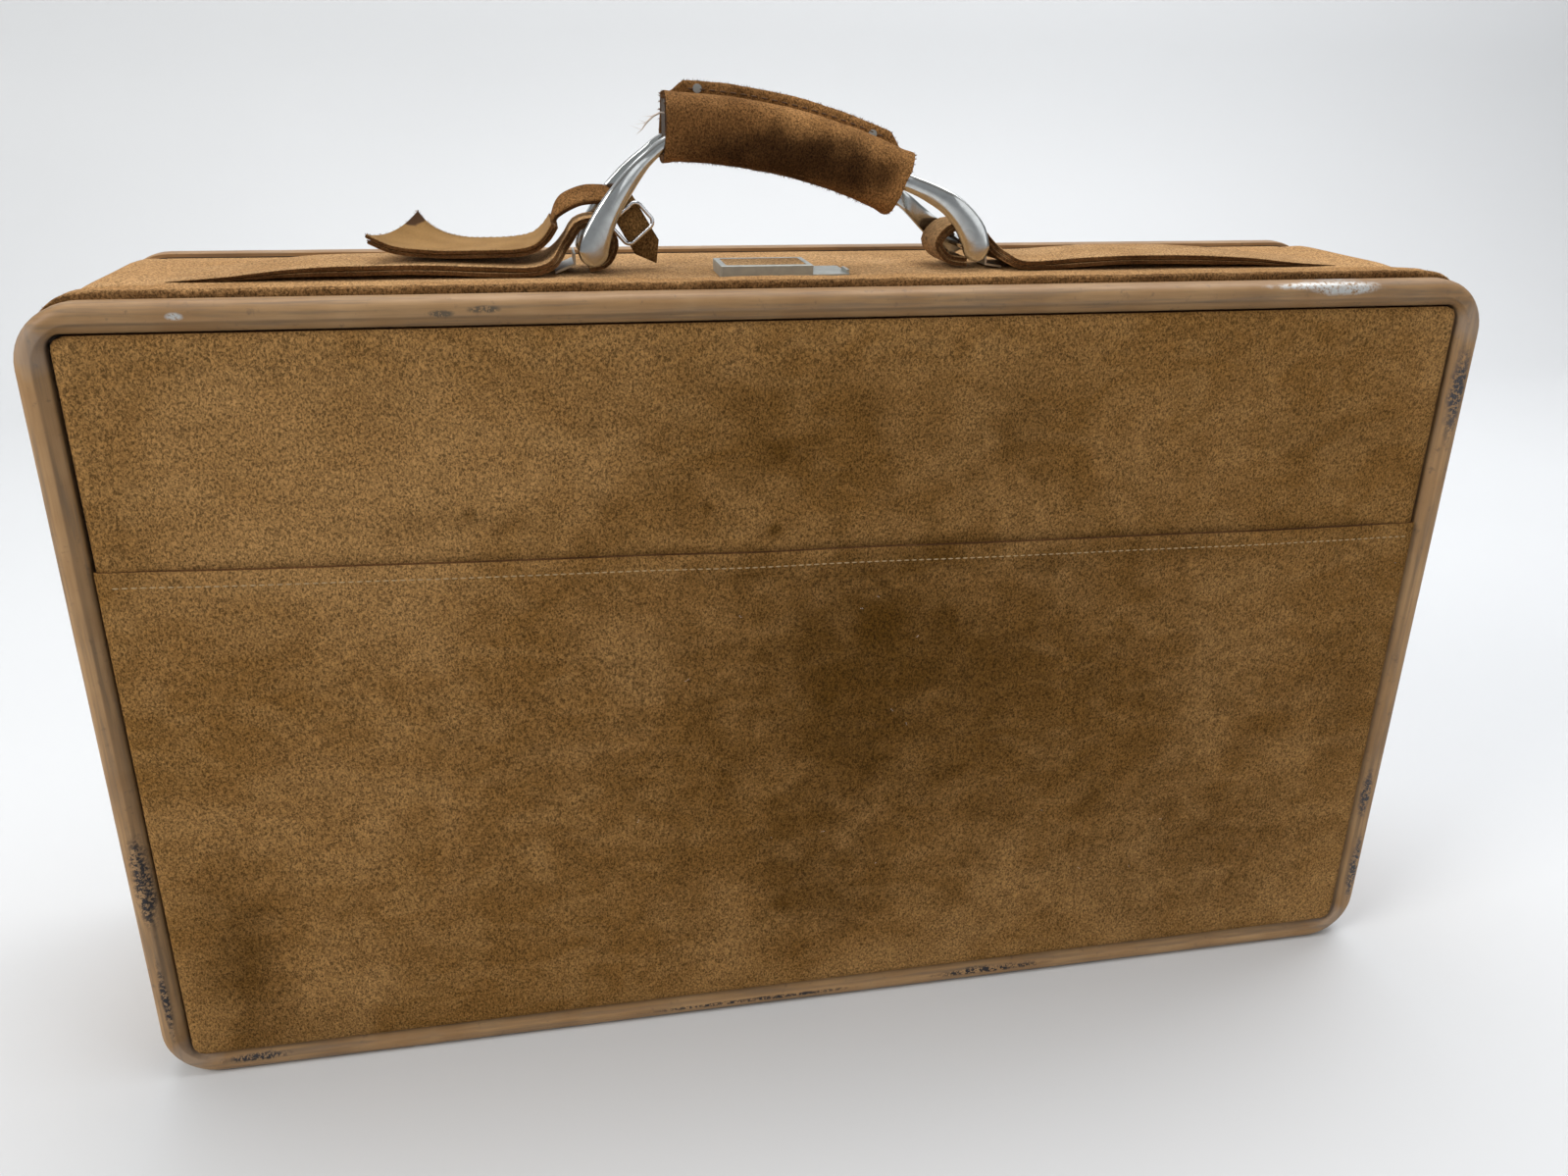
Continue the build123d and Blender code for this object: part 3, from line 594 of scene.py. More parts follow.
def on_outline(place, inset):
    """The point (x, z) of a station on the frame's outline drawn this far in; inner corners are tighter."""
    x, z, nx, nz = place
    radius = CORNER_R - inset
    if inset > RIDGE_U:
        radius = lerp(CORNER_R - RIDGE_U, LIP_R, min((inset - RIDGE_U) / (LIP_U - RIDGE_U), 1.0))
    half_x, half_z = CASE_W / 2 - inset - radius, CASE_H / 2 - inset - radius
    along_x, along_z = x / STRAIGHT_X, (z - CASE_H / 2) / (HIGH_Z - CASE_H / 2)
    return along_x * half_x + nx * radius, CASE_H / 2 + along_z * half_z + nz * radius


def rail(side):
    """The whole frame: side is -1 in front and 1 at the back."""
    verts = []
    places = case_stations(6.0)
    points = rail_points()
    for place in places:
        x, z = on_outline(place, 0.0)
        dent = 0.10 * wave(x, side * 60, z, 45, 3.0) + 0.07 * wave(x, side * 60, z, 12, 8.0)
        dent = clamp(dent, 0.0, 0.2)
        for inset, depth in points:
            px, pz = on_outline(place, inset + dent * (inset < 6))
            verts.append((px, side * (FACE_Y - depth - dent * (inset > 3)), pz))
    return verts, skin(len(places), len(points), closed=True)


add_piece("front_rail", rail(-1), [paint_front], "front_door", ["front_frame"], sharp=50)
add_piece("back_rail", rail(1), [paint_back], "case_body", ["back_frame"], sharp=50)


# ============================================================ suede panels
PANEL_X, PANEL_Z, PANEL_R = 13.5, 12.0, 5.0  # the panels' outline: insets and corner radius
PANEL_FRONT_Y, PANEL_EDGE_Y, PANEL_BACK_Y = -74.1, -72.2, -68.0
POCKET_FRONT_Y, POCKET_BACK_Y = -75.65, -73.95


def edge_distance(x, z):
    """How far a point is inside the panel's outline."""
    half_x, half_z = CASE_W / 2 - PANEL_X - PANEL_R, CASE_H / 2 - PANEL_Z - PANEL_R
    px, pz = abs(x) - half_x, abs(z - CASE_H / 2) - half_z
    if px > 0 and pz > 0:
        return PANEL_R - math.hypot(px, pz)
    return PANEL_R - max(px, pz)


def half_width(z):
    """Half the width of the panels' outline at this height."""
    over = max(abs(z - CASE_H / 2) - (CASE_H / 2 - PANEL_Z - PANEL_R), 0.0)
    return CASE_W / 2 - PANEL_X - PANEL_R + math.sqrt(max(PANEL_R**2 - over**2, 0.0))


def steps(low, high, cell, fine=1.2, ramp=8):
    """Positions from low to high, closer together near both ends."""
    ends = [fine * (i + 0.5 * i * i * 0.35) for i in range(ramp)]
    ends = [e for e in ends if e < (high - low) * 0.25]
    middle_low, middle_high = low + ends[-1], high - ends[-1]
    count = max(int((middle_high - middle_low) / cell), 2)
    middle = [lerp(middle_low, middle_high, i / count) for i in range(1, count)]
    return [low + e for e in ends] + middle + [high - e for e in reversed(ends)]


def sheet_panel(low_z, top_of, front_of, back_of, cell=5.0, wider=0.0):
    """A closed sheet that fills the outline up to the height top_of(x)."""
    top_mid = top_of(0.0)
    rows = steps(low_z, top_mid, cell)
    columns = steps(-1.0, 1.0, cell / (CASE_W / 2), fine=1.2 / (CASE_W / 2))
    grid = []
    for z in rows:
        for s in columns:
            x = s * (half_width(z) + wider)
            grid.append((x, low_z + (z - low_z) / (top_mid - low_z) * (top_of(x) - low_z)))
    verts = [(x, surface(x, z), z) for surface in (front_of, back_of) for x, z in grid]
    faces, rim = double_grid(len(rows), len(columns))
    kinds = [0] * len(faces) + [1] * len(rim)
    back = len(grid)
    faces += [(a, b, back + b, back + a) for a, b in zip(rim, rim[1:] + rim[:1])]
    return verts, faces, kinds


def panel_front(x, z):
    """Plump, with a rounded edge that turns back round the foam."""
    away = edge_distance(x, z)
    edge = rounded(away, 3.0, 1.5)
    swell = 0.9 * (1 - smooth(0.0, 26.0, away)) * smooth(0.5, 5.0, away)
    return PANEL_FRONT_Y + edge - swell + 0.22 * (1 + wave(x, 0, z, 85, 1.0)) * smooth(4, 30, away)


def panel_back(x, z):
    """Flat on the foam, and turned back beside it at the edge."""
    return lerp(PANEL_BACK_Y, PANEL_EDGE_Y, smooth(0.25, 0.45, edge_distance(x, z)))


def straight_top(x):
    return CASE_H - PANEL_Z


def back_front(x, z):
    return -panel_back(x, z)


def back_back(x, z):
    return -panel_front(-x, z)


# The panels' rim faces take the dark edge suede: painted shade in the gap between each panel and its rail.
for name, body, face, surfaces in (
    ("front_suede", "front_door", suede_front, (panel_front, panel_back)),
    ("back_suede", "case_body", suede_back, (back_back, back_front)),
):
    made = sheet_panel(PANEL_Z, straight_top, *surfaces)
    cover = add_piece(f"{name}_cover", made, [face, suede_edge_and_gap_shade], body, [name])

POCKET_LEFT_Z, POCKET_RIGHT_Z = 252.6, 241.6  # the pocket's mouth slopes
STITCH_DROP, STITCH_LENGTH, STITCH_PITCH = 6.5, 2.3, 3.4
SEAM_X = 286.0  # half the seam's length


def pocket_top(x):
    """The height of the pocket's mouth, which slopes and sags a little."""
    line = lerp(POCKET_LEFT_Z, POCKET_RIGHT_Z, (x + CASE_W / 2) / CASE_W)
    return line + 0.5 * wave(x, 0, 0, 60, 5.0) * (1 - (x / 300) ** 2) - 1.6 * (1 - (x / 293) ** 2)


def pocket_front(x, z):
    """Bowed out near the mouth, with a rolled lip and a groove where the stitches pull it in."""
    below = pocket_top(x) - z
    side = min(edge_distance(x, min(z, 200.0)), 60.0)
    edge = rounded(side, 2.8, 1.4)
    lip = 0.5 * (1 - smooth(0.0, 1.2, below)) ** 2
    groove = 0.38 * bell(below - STITCH_DROP, 1.1)
    bow = 1.5 * bell(below, 22.0) * smooth(0, 46, side) + 0.5 * (1 - smooth(0.0, 24.0, side))
    rolls = 0.18 * wave(x, 0, z, 70, 2.0) + 0.10 * wave(x, 0, z, 28, 4.0)
    return POCKET_FRONT_Y + edge + lip + groove - bow + rolls * smooth(2, 20, side)


def pocket_back(x, z):
    below = pocket_top(x) - z
    return POCKET_BACK_Y - 0.5 * bell(below, 26.0) * smooth(0, 60, edge_distance(x, min(z, 200.0)))


# The pocket's rim takes the dark edge suede too: painted shade for the dark line in the pocket's mouth.
made = sheet_panel(PANEL_Z - 0.2, pocket_top, pocket_front, pocket_back, cell=4.0, wider=0.5)
add_piece("pocket_cover", made, [suede_front, suede_edge_and_gap_shade], "front_door", ["pocket_panel"])

verts, faces = [], []
x = -SEAM_X
while x < SEAM_X:
    ends = []
    for along in (x, x + STITCH_LENGTH):
        z = pocket_top(along) - STITCH_DROP
        ends.append((along, pocket_front(along, z) - 0.08, z))
    stitch(verts, faces, *ends, (0, -1, 0), width=0.34, height=0.22)
    x += STITCH_PITCH
add_piece("pocket_stitches", (verts, faces), [thread], "front_door")

# fibres along the pocket's cut edge, and a little lint caught in the nap
verts, faces = [], []
for _ in range(900):
    x = rng.uniform(-288, 288)
    z = pocket_top(x) - rng.uniform(0.1, 1.0)
    base = Vector((x, pocket_front(x, z) + 0.1, z))
    lean = Vector((rng.uniform(-1, 1), rng.uniform(-0.9, -0.1), rng.uniform(0.0, 1.0)))
    needle(verts, faces, base, base + lean.normalized() * rng.uniform(0.4, 0.9), 0.08)
add_piece("pocket_fibres", (verts, faces), [suede_fibre], "front_door")
verts, faces = [], []
for _ in range(16):
    x, z = rng.gauss(40, 90), rng.uniform(60, 230)
    start = Vector((x, pocket_front(x, z) - 0.25, z))
    middle = start + Vector((rng.uniform(-1.4, 1.4), -0.25, rng.uniform(-1.4, 1.4)))
    end = middle + Vector((rng.uniform(-1, 1), 0.2, rng.uniform(-1, 1)))
    needle(verts, faces, start, middle, 0.13)
    needle(verts, faces, middle, end, 0.13)
add_piece("lint", (verts, faces), [pale_thread], "front_door")


# ============================================================ band, flap
def ring_line(count, low, high):
    return [lerp(low, high, i / (count - 1)) for i in range(count)]


band_places = case_stations(6.0)


def band_section(i):
    """The boxing: dipped beside the rear frame, and puffed out at the top corners."""
    x, z, nx, nz = band_places[i]
    ring = []
    corner = bell(abs(x + nx * CORNER_R) - 290, 20) * smooth(HIGH_Z - 12, HIGH_Z + 4, z)
    for y in ring_line(25, BAND_FRONT_Y, BAND_REAR_Y):
        dip = 1.1 * smooth(44, 62, y) + 0.5 * (1 - smooth(-57, -50, y))
        dip += 0.15 * (1 + wave(x + nx * 24, y, z + nz * 24, 38, 6.0))
        puff = 2.6 * corner * smooth(-52, -15, y) * (1 - smooth(40, 58, y))
        ring.append((y, CORNER_R - BAND_U - min(dip, 1.35) + puff))
    ring += [(y, CORNER_R - SHELL_U) for y in reversed(ring_line(5, BAND_FRONT_Y, BAND_REAR_Y))]
    return ring


made = sweep(band_places, band_section, closed=True)
add_piece("band_cover", made, [suede_band_and_sheen], "case_body", ["boxing_suede"])

FLAP_FRONT_Y, FLAP_REAR_Y = -63.5, -41.0
CREST_LOW_Y, CREST_Y = -55.0, -52.0  # where the flap lies flat, and where it stands up
flap_places = case_stations(2.2, open_below=8.0, turns=18)
CUT_SIDES = range(5)  # the sides of the section that make up the flap's cut edge


def flap_rise(x):
    """How far the flap's edge stands above the frame: along the top, and fading round its corners."""
    fading = 1 - 0.3 * smooth(270, 290, abs(x)) - 0.7 * smooth(287, 300, abs(x))
    return fading * (1.0 + 0.12 * wave(x, 0, 0, 40, 9.0))


def flap_section(i):
    """A cut edge that stands up behind the front frame, and a crest that falls to the band behind it."""
    x, z, nx, nz = flap_places[i]
    rise = flap_rise(x + nx * CORNER_R) if z > HIGH_Z - 0.01 and nz >= -0.01 else 0.0
    edge = 2.6 * rise
    crest = 2.7 * rise + 0.35 * wave(x, 3, 0, 24, 2.0) * rise
    rear = lerp(-48.0, FLAP_REAR_Y, rise)
    crest_y = lerp(CREST_LOW_Y, CREST_Y, rise)
    top = CORNER_R
    outer = [
        (FLAP_FRONT_Y + 0.1, top - 1.05), (FLAP_FRONT_Y - 0.1 * rise, top - 0.7 + edge * 0.25),
        (FLAP_FRONT_Y - 0.25 * rise, top - 0.45 + edge * 0.55),
        (FLAP_FRONT_Y - 0.1 * rise, top - 0.2 + edge * 0.82),
        (FLAP_FRONT_Y + 0.5, top + edge), (FLAP_FRONT_Y + 1.6, top + edge + 0.25 * rise),
        (FLAP_FRONT_Y + 4.0, top + lerp(edge, crest, 0.4)),
        (FLAP_FRONT_Y + 8.0, top + lerp(edge, crest, 0.75)),
        (lerp(FLAP_FRONT_Y + 8.0, crest_y, 0.5), top + lerp(edge, crest, 0.93)), (crest_y, top + crest),
        (lerp(crest_y, rear, 0.35), top + crest * 0.86 - 0.05),
        (lerp(crest_y, rear, 0.7), top + crest * 0.38 - 0.25),
        (rear, top - 0.75), (rear + 0.3, top - BAND_U + 0.05),
    ]
    under = [(y, top - BAND_U + 0.02) for y in (rear - 1.5, -52.0, -57.0, FLAP_FRONT_Y + 1.5)]
    ring = []
    for k, (y, h) in enumerate(outer):
        amount = (0.42 if k in range(1, 6) else 0.20 if k in (9, 10) else 0.06) * (0.25 + 0.75 * rise)
        dy, dh = wave(x * 9, k * 7, z * 9, 12, 1.0), wave(x * 9, k * 9, z * 9, 12, 4.0)
        ring.append((y + amount * dy, h + amount * dh))
    return ring + under


verts, faces = sweep(flap_places, flap_section)
sides = len(flap_section(0))
kinds = [int(j in CUT_SIDES) for j in range(sides)] * (len(flap_places) - 1) + [1, 1]
finish = [suede_flap_shaded, suede_fringe]
add_piece("flap_cover", (verts, faces, kinds), finish, "case_body", ["zip_flap"])

# fibres standing off the flap's cut edge and its crest
raised = [place for place in flap_places if place[1] > HIGH_Z - 0.01 and place[3] > 0.2]
for name, color in (("flap_fibres", suede_flap_shaded), ("flap_dark_fibres", suede_fibre)):
    verts, faces = [], []
    for _ in range(2800):
        x, z, nx, nz = raised[rng.randrange(len(raised))]
        out, along = Vector((nx, 0, nz)), Vector((nz, 0, -nx))
        rise = flap_rise(x + nx * CORNER_R)
        on_crest = rng.random() < 0.15
        height = CORNER_R - 0.3 + (2.5 * rise if on_crest else 2.7 * rise * rng.uniform(0.0, 1.0))
        y = lerp(CREST_LOW_Y, CREST_Y, rise) if on_crest else FLAP_FRONT_Y + 0.1
        base = Vector((x, y, z)) + out * height + along * rng.uniform(-1.2, 1.2)
        lean = along * rng.uniform(-0.9, 0.9) + out * rng.uniform(-0.3, 0.9)
        lean += Vector((0, rng.uniform(-0.9, 0.0), 0))
        needle(verts, faces, base, base + lean.normalized() * rng.uniform(0.5, 1.4), 0.13)
    add_piece(name, (verts, faces), [color], "case_body")


# ============================================================ layered leather
def path_stations(points, step, flip=False):
    """Evenly spaced (x, z, nx, nz) along a smooth curve through points. flip turns the normals over."""
    dense = []
    last = len(points) - 1
    for i in range(last):
        p0, p1, p2, p3 = (points[min(max(i + k, 0), last)] for k in (-1, 0, 1, 2))
        for n in range(24):
            t = n / 24
            weights = (
                -0.5 * t + t * t - 0.5 * t**3, 1 - 2.5 * t * t + 1.5 * t**3,
                0.5 * t + 2 * t * t - 1.5 * t**3, -0.5 * t * t + 0.5 * t**3,
            )
            dense.append([sum(w * p[k] for w, p in zip(weights, (p0, p1, p2, p3))) for k in (0, 1)])
    dense.append(list(points[-1]))
    lengths = [0.0]
    for a, b in zip(dense, dense[1:]):
        lengths.append(lengths[-1] + math.dist(a, b))
    count = max(int(lengths[-1] / step), 2)
    stations = []
    k = 0
    for i in range(count + 1):
        target = lengths[-1] * i / count
        while k < len(dense) - 2 and lengths[k + 1] < target:
            k += 1
        t = (target - lengths[k]) / max(lengths[k + 1] - lengths[k], 1e-9)
        stations.append([lerp(dense[k][0], dense[k + 1][0], t), lerp(dense[k][1], dense[k + 1][1], t)])
    turned = -1 if flip else 1
    made = []
    for i, (x, z) in enumerate(stations):
        (x0, z0), (x1, z1) = stations[max(i - 1, 0)], stations[min(i + 1, count)]
        size = math.hypot(x1 - x0, z1 - z0)
        made.append((x, z, -(z1 - z0) / size * turned, (x1 - x0) / size * turned))
    return made


class Shells:
    """Several closed shells gathered into one mesh."""

    def __init__(self):
        self.verts, self.faces, self.kinds = [], [], []

    def slab(self, rows, columns, place, kinds=(0, 0, 1), ragged=0.12):
        """A sheet with thickness: place(i, j, side) gives its top (+1) or underside (-1).

        kinds are those of the top, the underside and the cut edge, which stands out by ragged.
        """
        start = len(self.verts)
        size = rows * columns
        for side in (1, -1):
            self.verts += [tuple(place(i, j, side)) for i in range(rows) for j in range(columns)]
        faces, rim = double_grid(rows, columns, start)
        self.faces += faces
        self.kinds += list(kinds[:2]) * (len(faces) // 2)
        middle = len(self.verts)
        centre = Vector(self.verts[start + (rows // 2) * columns + columns // 2])
        for n in rim:
            point = (Vector(self.verts[n]) + Vector(self.verts[size + n])) / 2
            point += (point - centre).normalized() * ragged * (1 + 1.2 * wave(*point, 2.2, 3.0))
            self.verts.append(tuple(point))
        count = len(rim)
        for n in range(count):
            m = (n + 1) % count
            a, b = rim[n], rim[m]
            self.faces += [(a, middle + n, middle + m, b), (middle + n, size + a, size + b, middle + m)]
            self.kinds += [kinds[2]] * 2

    def piece(self, name, materials, body, slot, replaced):
        add_piece(name, (self.verts, self.faces, self.kinds), materials, body, replaced, sharp=40)


def fuzz(places, count, length, width=0.09):
    """Fibres that stand off the given (point, outward) places."""
    verts, faces = [], []
    for _ in range(count):
        point, out = places[rng.randrange(len(places))]
        lean = Vector(out) + Vector([rng.uniform(-0.8, 0.8) for _ in range(3)])
        base = Vector(point) + Vector([rng.uniform(-0.5, 0.5), 0, rng.uniform(-0.2, 0.2)])
        needle(verts, faces, base, base + lean.normalized() * rng.uniform(0.35, 1.0) * length, width)
    return verts, faces


STRAP_HALF, FOLD_HALF, LAYER_T = 20.0, 10.8, 1.9  # half widths along the case and at the fold
STRAP_LOW_Z, TIP_THIN = 354.5, 0.10  # the leather the straps lie on; their ends are pared thin
strap_paths = {
    "right": [
        (266, 354.6), (240, 356.0), (212, 358.0), (165, 359.3), (135, 358.4), (107, 357.3), (97.5, 360),
        (90.2, 366.4), (83.5, 372.6), (72.5, 373.1), (66, 366), (71, 359.4), (80, 357.6),
    ],
    "left": [
        (-266, 354.6), (-240, 356.0), (-212, 358.2), (-165, 358.8), (-135, 357.6), (-118, 357.3),
        (-108, 360.2), (-100.8, 368.4), (-95.6, 375.2), (-86.5, 376), (-81, 368), (-84.5, 359.6),
        (-92, 357.6),
    ],
}
strap_edges = []  # (point, outward) places for the fibres of the cut edges
STRAP_CROSS = [0.0, 0.012, 0.04, 0.12, 0.25, 0.38, 0.5, 0.62, 0.75, 0.88, 0.96, 0.988, 1.0]
for name, shoulder in (("right", 93.0), ("left", -102.5)):
    stations = path_stations(strap_paths[name], 2.2, flip=(name == "right"))
    shoulder_at = min(range(len(stations)), key=lambda i: (abs(stations[i][0] - shoulder), i))
    shells = Shells()

    def strap_place(i, j, side, layer, stations=stations, shoulder_at=shoulder_at):
        x, z, nx, nz = stations[i]
        v = STRAP_CROSS[j]
        narrow = smooth(shoulder_at - 3.2, shoulder_at + 0.8, i)
        half = lerp(STRAP_HALF, FOLD_HALF, narrow) + 0.35 * wave(x, layer * 9, z, 16, 4.0)
        half -= 0.5 * (layer < 0)
        end = smooth(-4, 36, i)
        full = LAYER_T * lerp(TIP_THIN, 1.0, end)
        thick = full * (1 - 0.28 * (v < 0.01 or v > 0.99))
        bulge = 0.45 * arch(v) * (1 - narrow) * end
        ripple = 0.35 * wave(x, v * 40, z, 30, 2.0 + layer) * (1 - narrow)
        gap = 0.14 + 0.5 * end * (1 - narrow) * (0.5 + 0.5 * wave(x, 0, z, 26, 7.0)) * (layer < 0)
        h = layer * (full * 0.5 + gap) + bulge + ripple * end + side * thick / 2
        low = STRAP_LOW_Z + 0.18 * (side > 0) + 0.3 * (layer > 0)
        return Vector((x + nx * h, lerp(-half, half, v), max(z + nz * h, low)))

    for layer in (1, -1):
        shells.slab(
            len(stations), len(STRAP_CROSS), lambda i, j, side: strap_place(i, j, side, layer), ragged=0.1
        )
        for i in range(4, shoulder_at):
            for j, out in ((0, -1), (12, 1)):
                middle = (strap_place(i, j, 1, layer) + strap_place(i, j, -1, layer)) / 2
                strap_edges.append((middle, (0, out, 0.3)))
    finish = [suede_strap, suede_edge_and_gap_shade]
    shells.piece(f"strap_{name}_layers", finish, "case_body", "suede_strap", [f"strap_{name}"])
add_piece("strap_fibres", fuzz(strap_edges, 2400, 0.9), [suede_fibre], "case_body")

# ============================================================ handle's side plates
RING_Y, GRIP_Y, PLATE_T = 14.25, 7.25, 3.5
left_outer = [(-96.8, 365), (-93.8, 373.8), (-83.2, 389.6), (-67.6, 404.6), (-50, 413.2)]
left_inner = [(-83.7, 365), (-80.4, 375.5), (-73.7, 386.8), (-62, 401.6), (-50, 406.4)]
plate_edges = {
    "front": (
        [(-5, 410.5), (44, 398.4), (65.7, 390.6), (76.6, 383.9), (85.3, 374.4), (88.2, 365)],
        [(-5, 403), (44, 390.6), (61.6, 382.6), (70.2, 374.4), (75.6, 365)],
        (82.0, 358.7),
    ),
    "rear": (
        [(-5, 406), (44, 392.6), (54.9, 387.1), (66, 379.6), (76.2, 372.6), (86.8, 363.6)],
        [(-5, 398.6), (40, 386.4), (50.1, 381.6), (60.7, 373), (72.6, 362.6), (75.6, 361.2)],
        (81.9, 358.7),
    ),
}


def lobe(start, tip, end, count=9):
    """Pairs of points round the end of a plate, from its two edges to the tip."""
    pairs = []
    middle = Vector(((start[0] + end[0]) / 2, (start[1] + end[1]) / 2))
    reach = Vector(tip) - middle
    half = Vector(start) - middle
    for n in range(1, count + 1):
        angle = math.pi / 2 * min(n / count, 0.985)
        aside, ahead = half * math.cos(angle), reach * math.sin(angle)
        pairs.append((middle + aside + ahead, middle - aside + ahead))
    return pairs


def plate_y(x):
    """The inner face's distance from the middle: wide at the rings, close inside the grip."""
    if x < 0:
        return lerp(RING_Y, GRIP_Y, smooth(-84, -61, x))
    return lerp(GRIP_Y, RING_Y, smooth(53, 70, x))


PLATE_SPANS = 92
PLATE_ACROSS = [0.0, 0.03, 0.10, 0.22, 0.36, 0.5, 0.64, 0.78, 0.90, 0.97, 1.0]
for name, side in (("front", -1), ("rear", 1)):
    right_outer, right_inner, tip = plate_edges[name]
    outer = path_stations(left_outer + right_outer, 2.5)
    inner = path_stations(left_inner + right_inner, 2.5)
    pairs = []
    for i in range(PLATE_SPANS + 1):
        ends = [between(edge, (len(edge) - 1) * i / PLATE_SPANS) for edge in (outer, inner)]
        pairs.append([Vector(end[:2]) for end in ends])
    left = lobe(left_outer[0], (-90.25, 358.5), left_inner[0])
    right_end = lobe(right_outer[-1], tip, right_inner[-1])
    pairs = list(reversed(left)) + pairs + right_end
    verts = []
    for o, q in pairs:
        width = (o - q).length
        for face in (1, -1):
            order = PLATE_ACROSS if face > 0 else list(reversed(PLATE_ACROSS))[1:-1]
            for f in order:
                p = o.lerp(q, f)
                near = min(f, 1 - f) * width
                rounding = rounded(near, 1.6, 1.25)
                crown = 0.9 * arch(f) * clamp(width / 6)
                base = plate_y(p.x)
                if face > 0:
                    y = base + PLATE_T + crown - rounding
                else:
                    y = base + 0.35 * rounding
                verts.append((p.x, side * y, p.y))
    made = verts, skin(len(pairs), 2 * len(PLATE_ACROSS) - 2)
    replaced = [f"handle_plate_{name}"]
    add_piece(f"handle_band_{name}", made, [polished], "handle", replaced, sharp=60)

# ============================================================ grip
GRIP_LEFT, GRIP_RIGHT, GRIP_RISE = Vector((-57.5, 414.8)), Vector((48.0, 391.5)), 5.8
chord = GRIP_RIGHT - GRIP_LEFT
grip_radius = ((chord.length / 2) ** 2 + GRIP_RISE**2) / (2 * GRIP_RISE)
grip_up = Vector((-chord.y, chord.x)).normalized()
grip_centre = (GRIP_LEFT + GRIP_RIGHT) / 2 + grip_up * (GRIP_RISE - grip_radius)
GRIP_SPAN = 2 * math.asin(chord.length / 2 / grip_radius)
GRIP_TILT = math.atan2(grip_up.y, grip_up.x)


def grip_station(t):
    """Centre and normal of the grip at t from 0 (left end) to 1 (right end)."""
    angle = GRIP_TILT + GRIP_SPAN * (0.5 - t)
    normal = Vector((math.cos(angle), math.sin(angle)))
    place = grip_centre + normal * grip_radius
    return place.x, place.y, normal.x, normal.y


def grip_point(t, y, h):
    x, z, nx, nz = grip_station(t)
    return x + nx * h, y, z + nz * h


GRIP_ROWS = 74
grip_places = [grip_station(i / (GRIP_ROWS - 1)) for i in range(GRIP_ROWS)]
wrap_outer = [  # (y, height) round the wrap, from one edge of its flange to the other
    (8.0, 12.6), (8.2, 14.6), (8.2, 16.9), (7.8, 18.6), (6.7, 19.1), (5.6, 18.7), (5.1, 16.9), (4.9, 14.4),
    (4.3, 12.3), (3.1, 12.4), (1.5, 13.2), (-0.8, 13.9), (-3.6, 14.0), (-6.6, 13.4), (-9.4, 11.9),
    (-11.6, 9.5), (-12.9, 6.2), (-13.4, 2.4), (-13.5, -1.6), (-13.3, -5.6), (-12.4, -9.0),
    (-10.6, -11.8), (-8.0, -13.4), (-4.6, -14.0), (-1.0, -14.2), (2.6, -14.1), (6.2, -13.5),
    (9.4, -11.9), (11.8, -9.2), (13.1, -5.6), (13.5, -1.6), (13.4, 2.6), (12.8, 6.6), (11.8, 9.8),
    (10.4, 12.0), (9.0, 13.0),
]
FLANGE_POINTS, CORE_TOP = 9, 11.6  # the outline's first points stand up as the flange above the core
SEAM_H, PUCKERS, GRIP_STITCHES = 13.2, 23, 20
wrap_inner = []
for n, (y, h) in enumerate(wrap_outer):
    if n < FLANGE_POINTS:
        wrap_inner.append((lerp(7.4, 3.2, n / (FLANGE_POINTS - 1)), CORE_TOP))
    else:
        scale = 1 - 2.5 / math.hypot(y, h)
        wrap_inner.append((y * scale, min(h * scale, CORE_TOP)))


def flange_height(t):
    """1 along the grip, falling to 0 at its ends."""
    return smooth(0.015, 0.09, t) * (1 - smooth(0.90, 0.985, t))


verts, faces = [], []
ring = len(wrap_outer)
for i, (x, z, nx, nz) in enumerate(grip_places):
    t = i / (GRIP_ROWS - 1)
    high = flange_height(t)
    flare = 0.7 * bell(min(t, 1 - t), 0.03)
    tangent = Vector((nz, -nx))
    for layer, loop in enumerate((wrap_outer, wrap_inner)):
        for n, (y, h) in enumerate(loop):
            if layer == 0 and 1 <= n <= 7:
                h = lerp(min(h, SEAM_H + 0.05 * n), h, high)
            slip = 0.0
            if layer == 0:
                away = Vector((y, h)).normalized()
                rough = 0.38 * wave(x, y, z + h, 13, 2.0) + 0.14 * wave(x, y, z + h, 3.2, 6.0) + flare
                pucker = 0.35 * math.cos(2 * math.pi * t * PUCKERS) * bell(h - SEAM_H, 1.8)
                pucker *= 2.0 < y < 5.4
                y += away.x * (rough + pucker)
                h += away.y * rough
            if i in (0, GRIP_ROWS - 1):
                end = -1 if i == 0 else 1
                slip = 0.7 * wave(y, h, 0, 6, 3.0) + 0.25 * wave(y, h, 4, 1.6, 1.0)
                slip = end * (slip + 1.2 * clamp(-h / 14) * (i == 0))
            verts.append((x + nx * h + tangent.x * slip, y, z + nz * h + tangent.y * slip))
for layer in (0, 1):
    faces += skin(GRIP_ROWS, ring, layer * ring, caps=False, stride=2 * ring)
for end in (0, (GRIP_ROWS - 1) * 2 * ring):
    faces += skin(2, ring, end, caps=False)
walls = (GRIP_ROWS - 1) * ring
made = verts, faces, [0] * walls + [1] * (len(faces) - walls)
add_piece("grip_leather", made, [suede_grip, suede_edge_and_gap_shade], "handle", ["grip_wrap"], sharp=70)

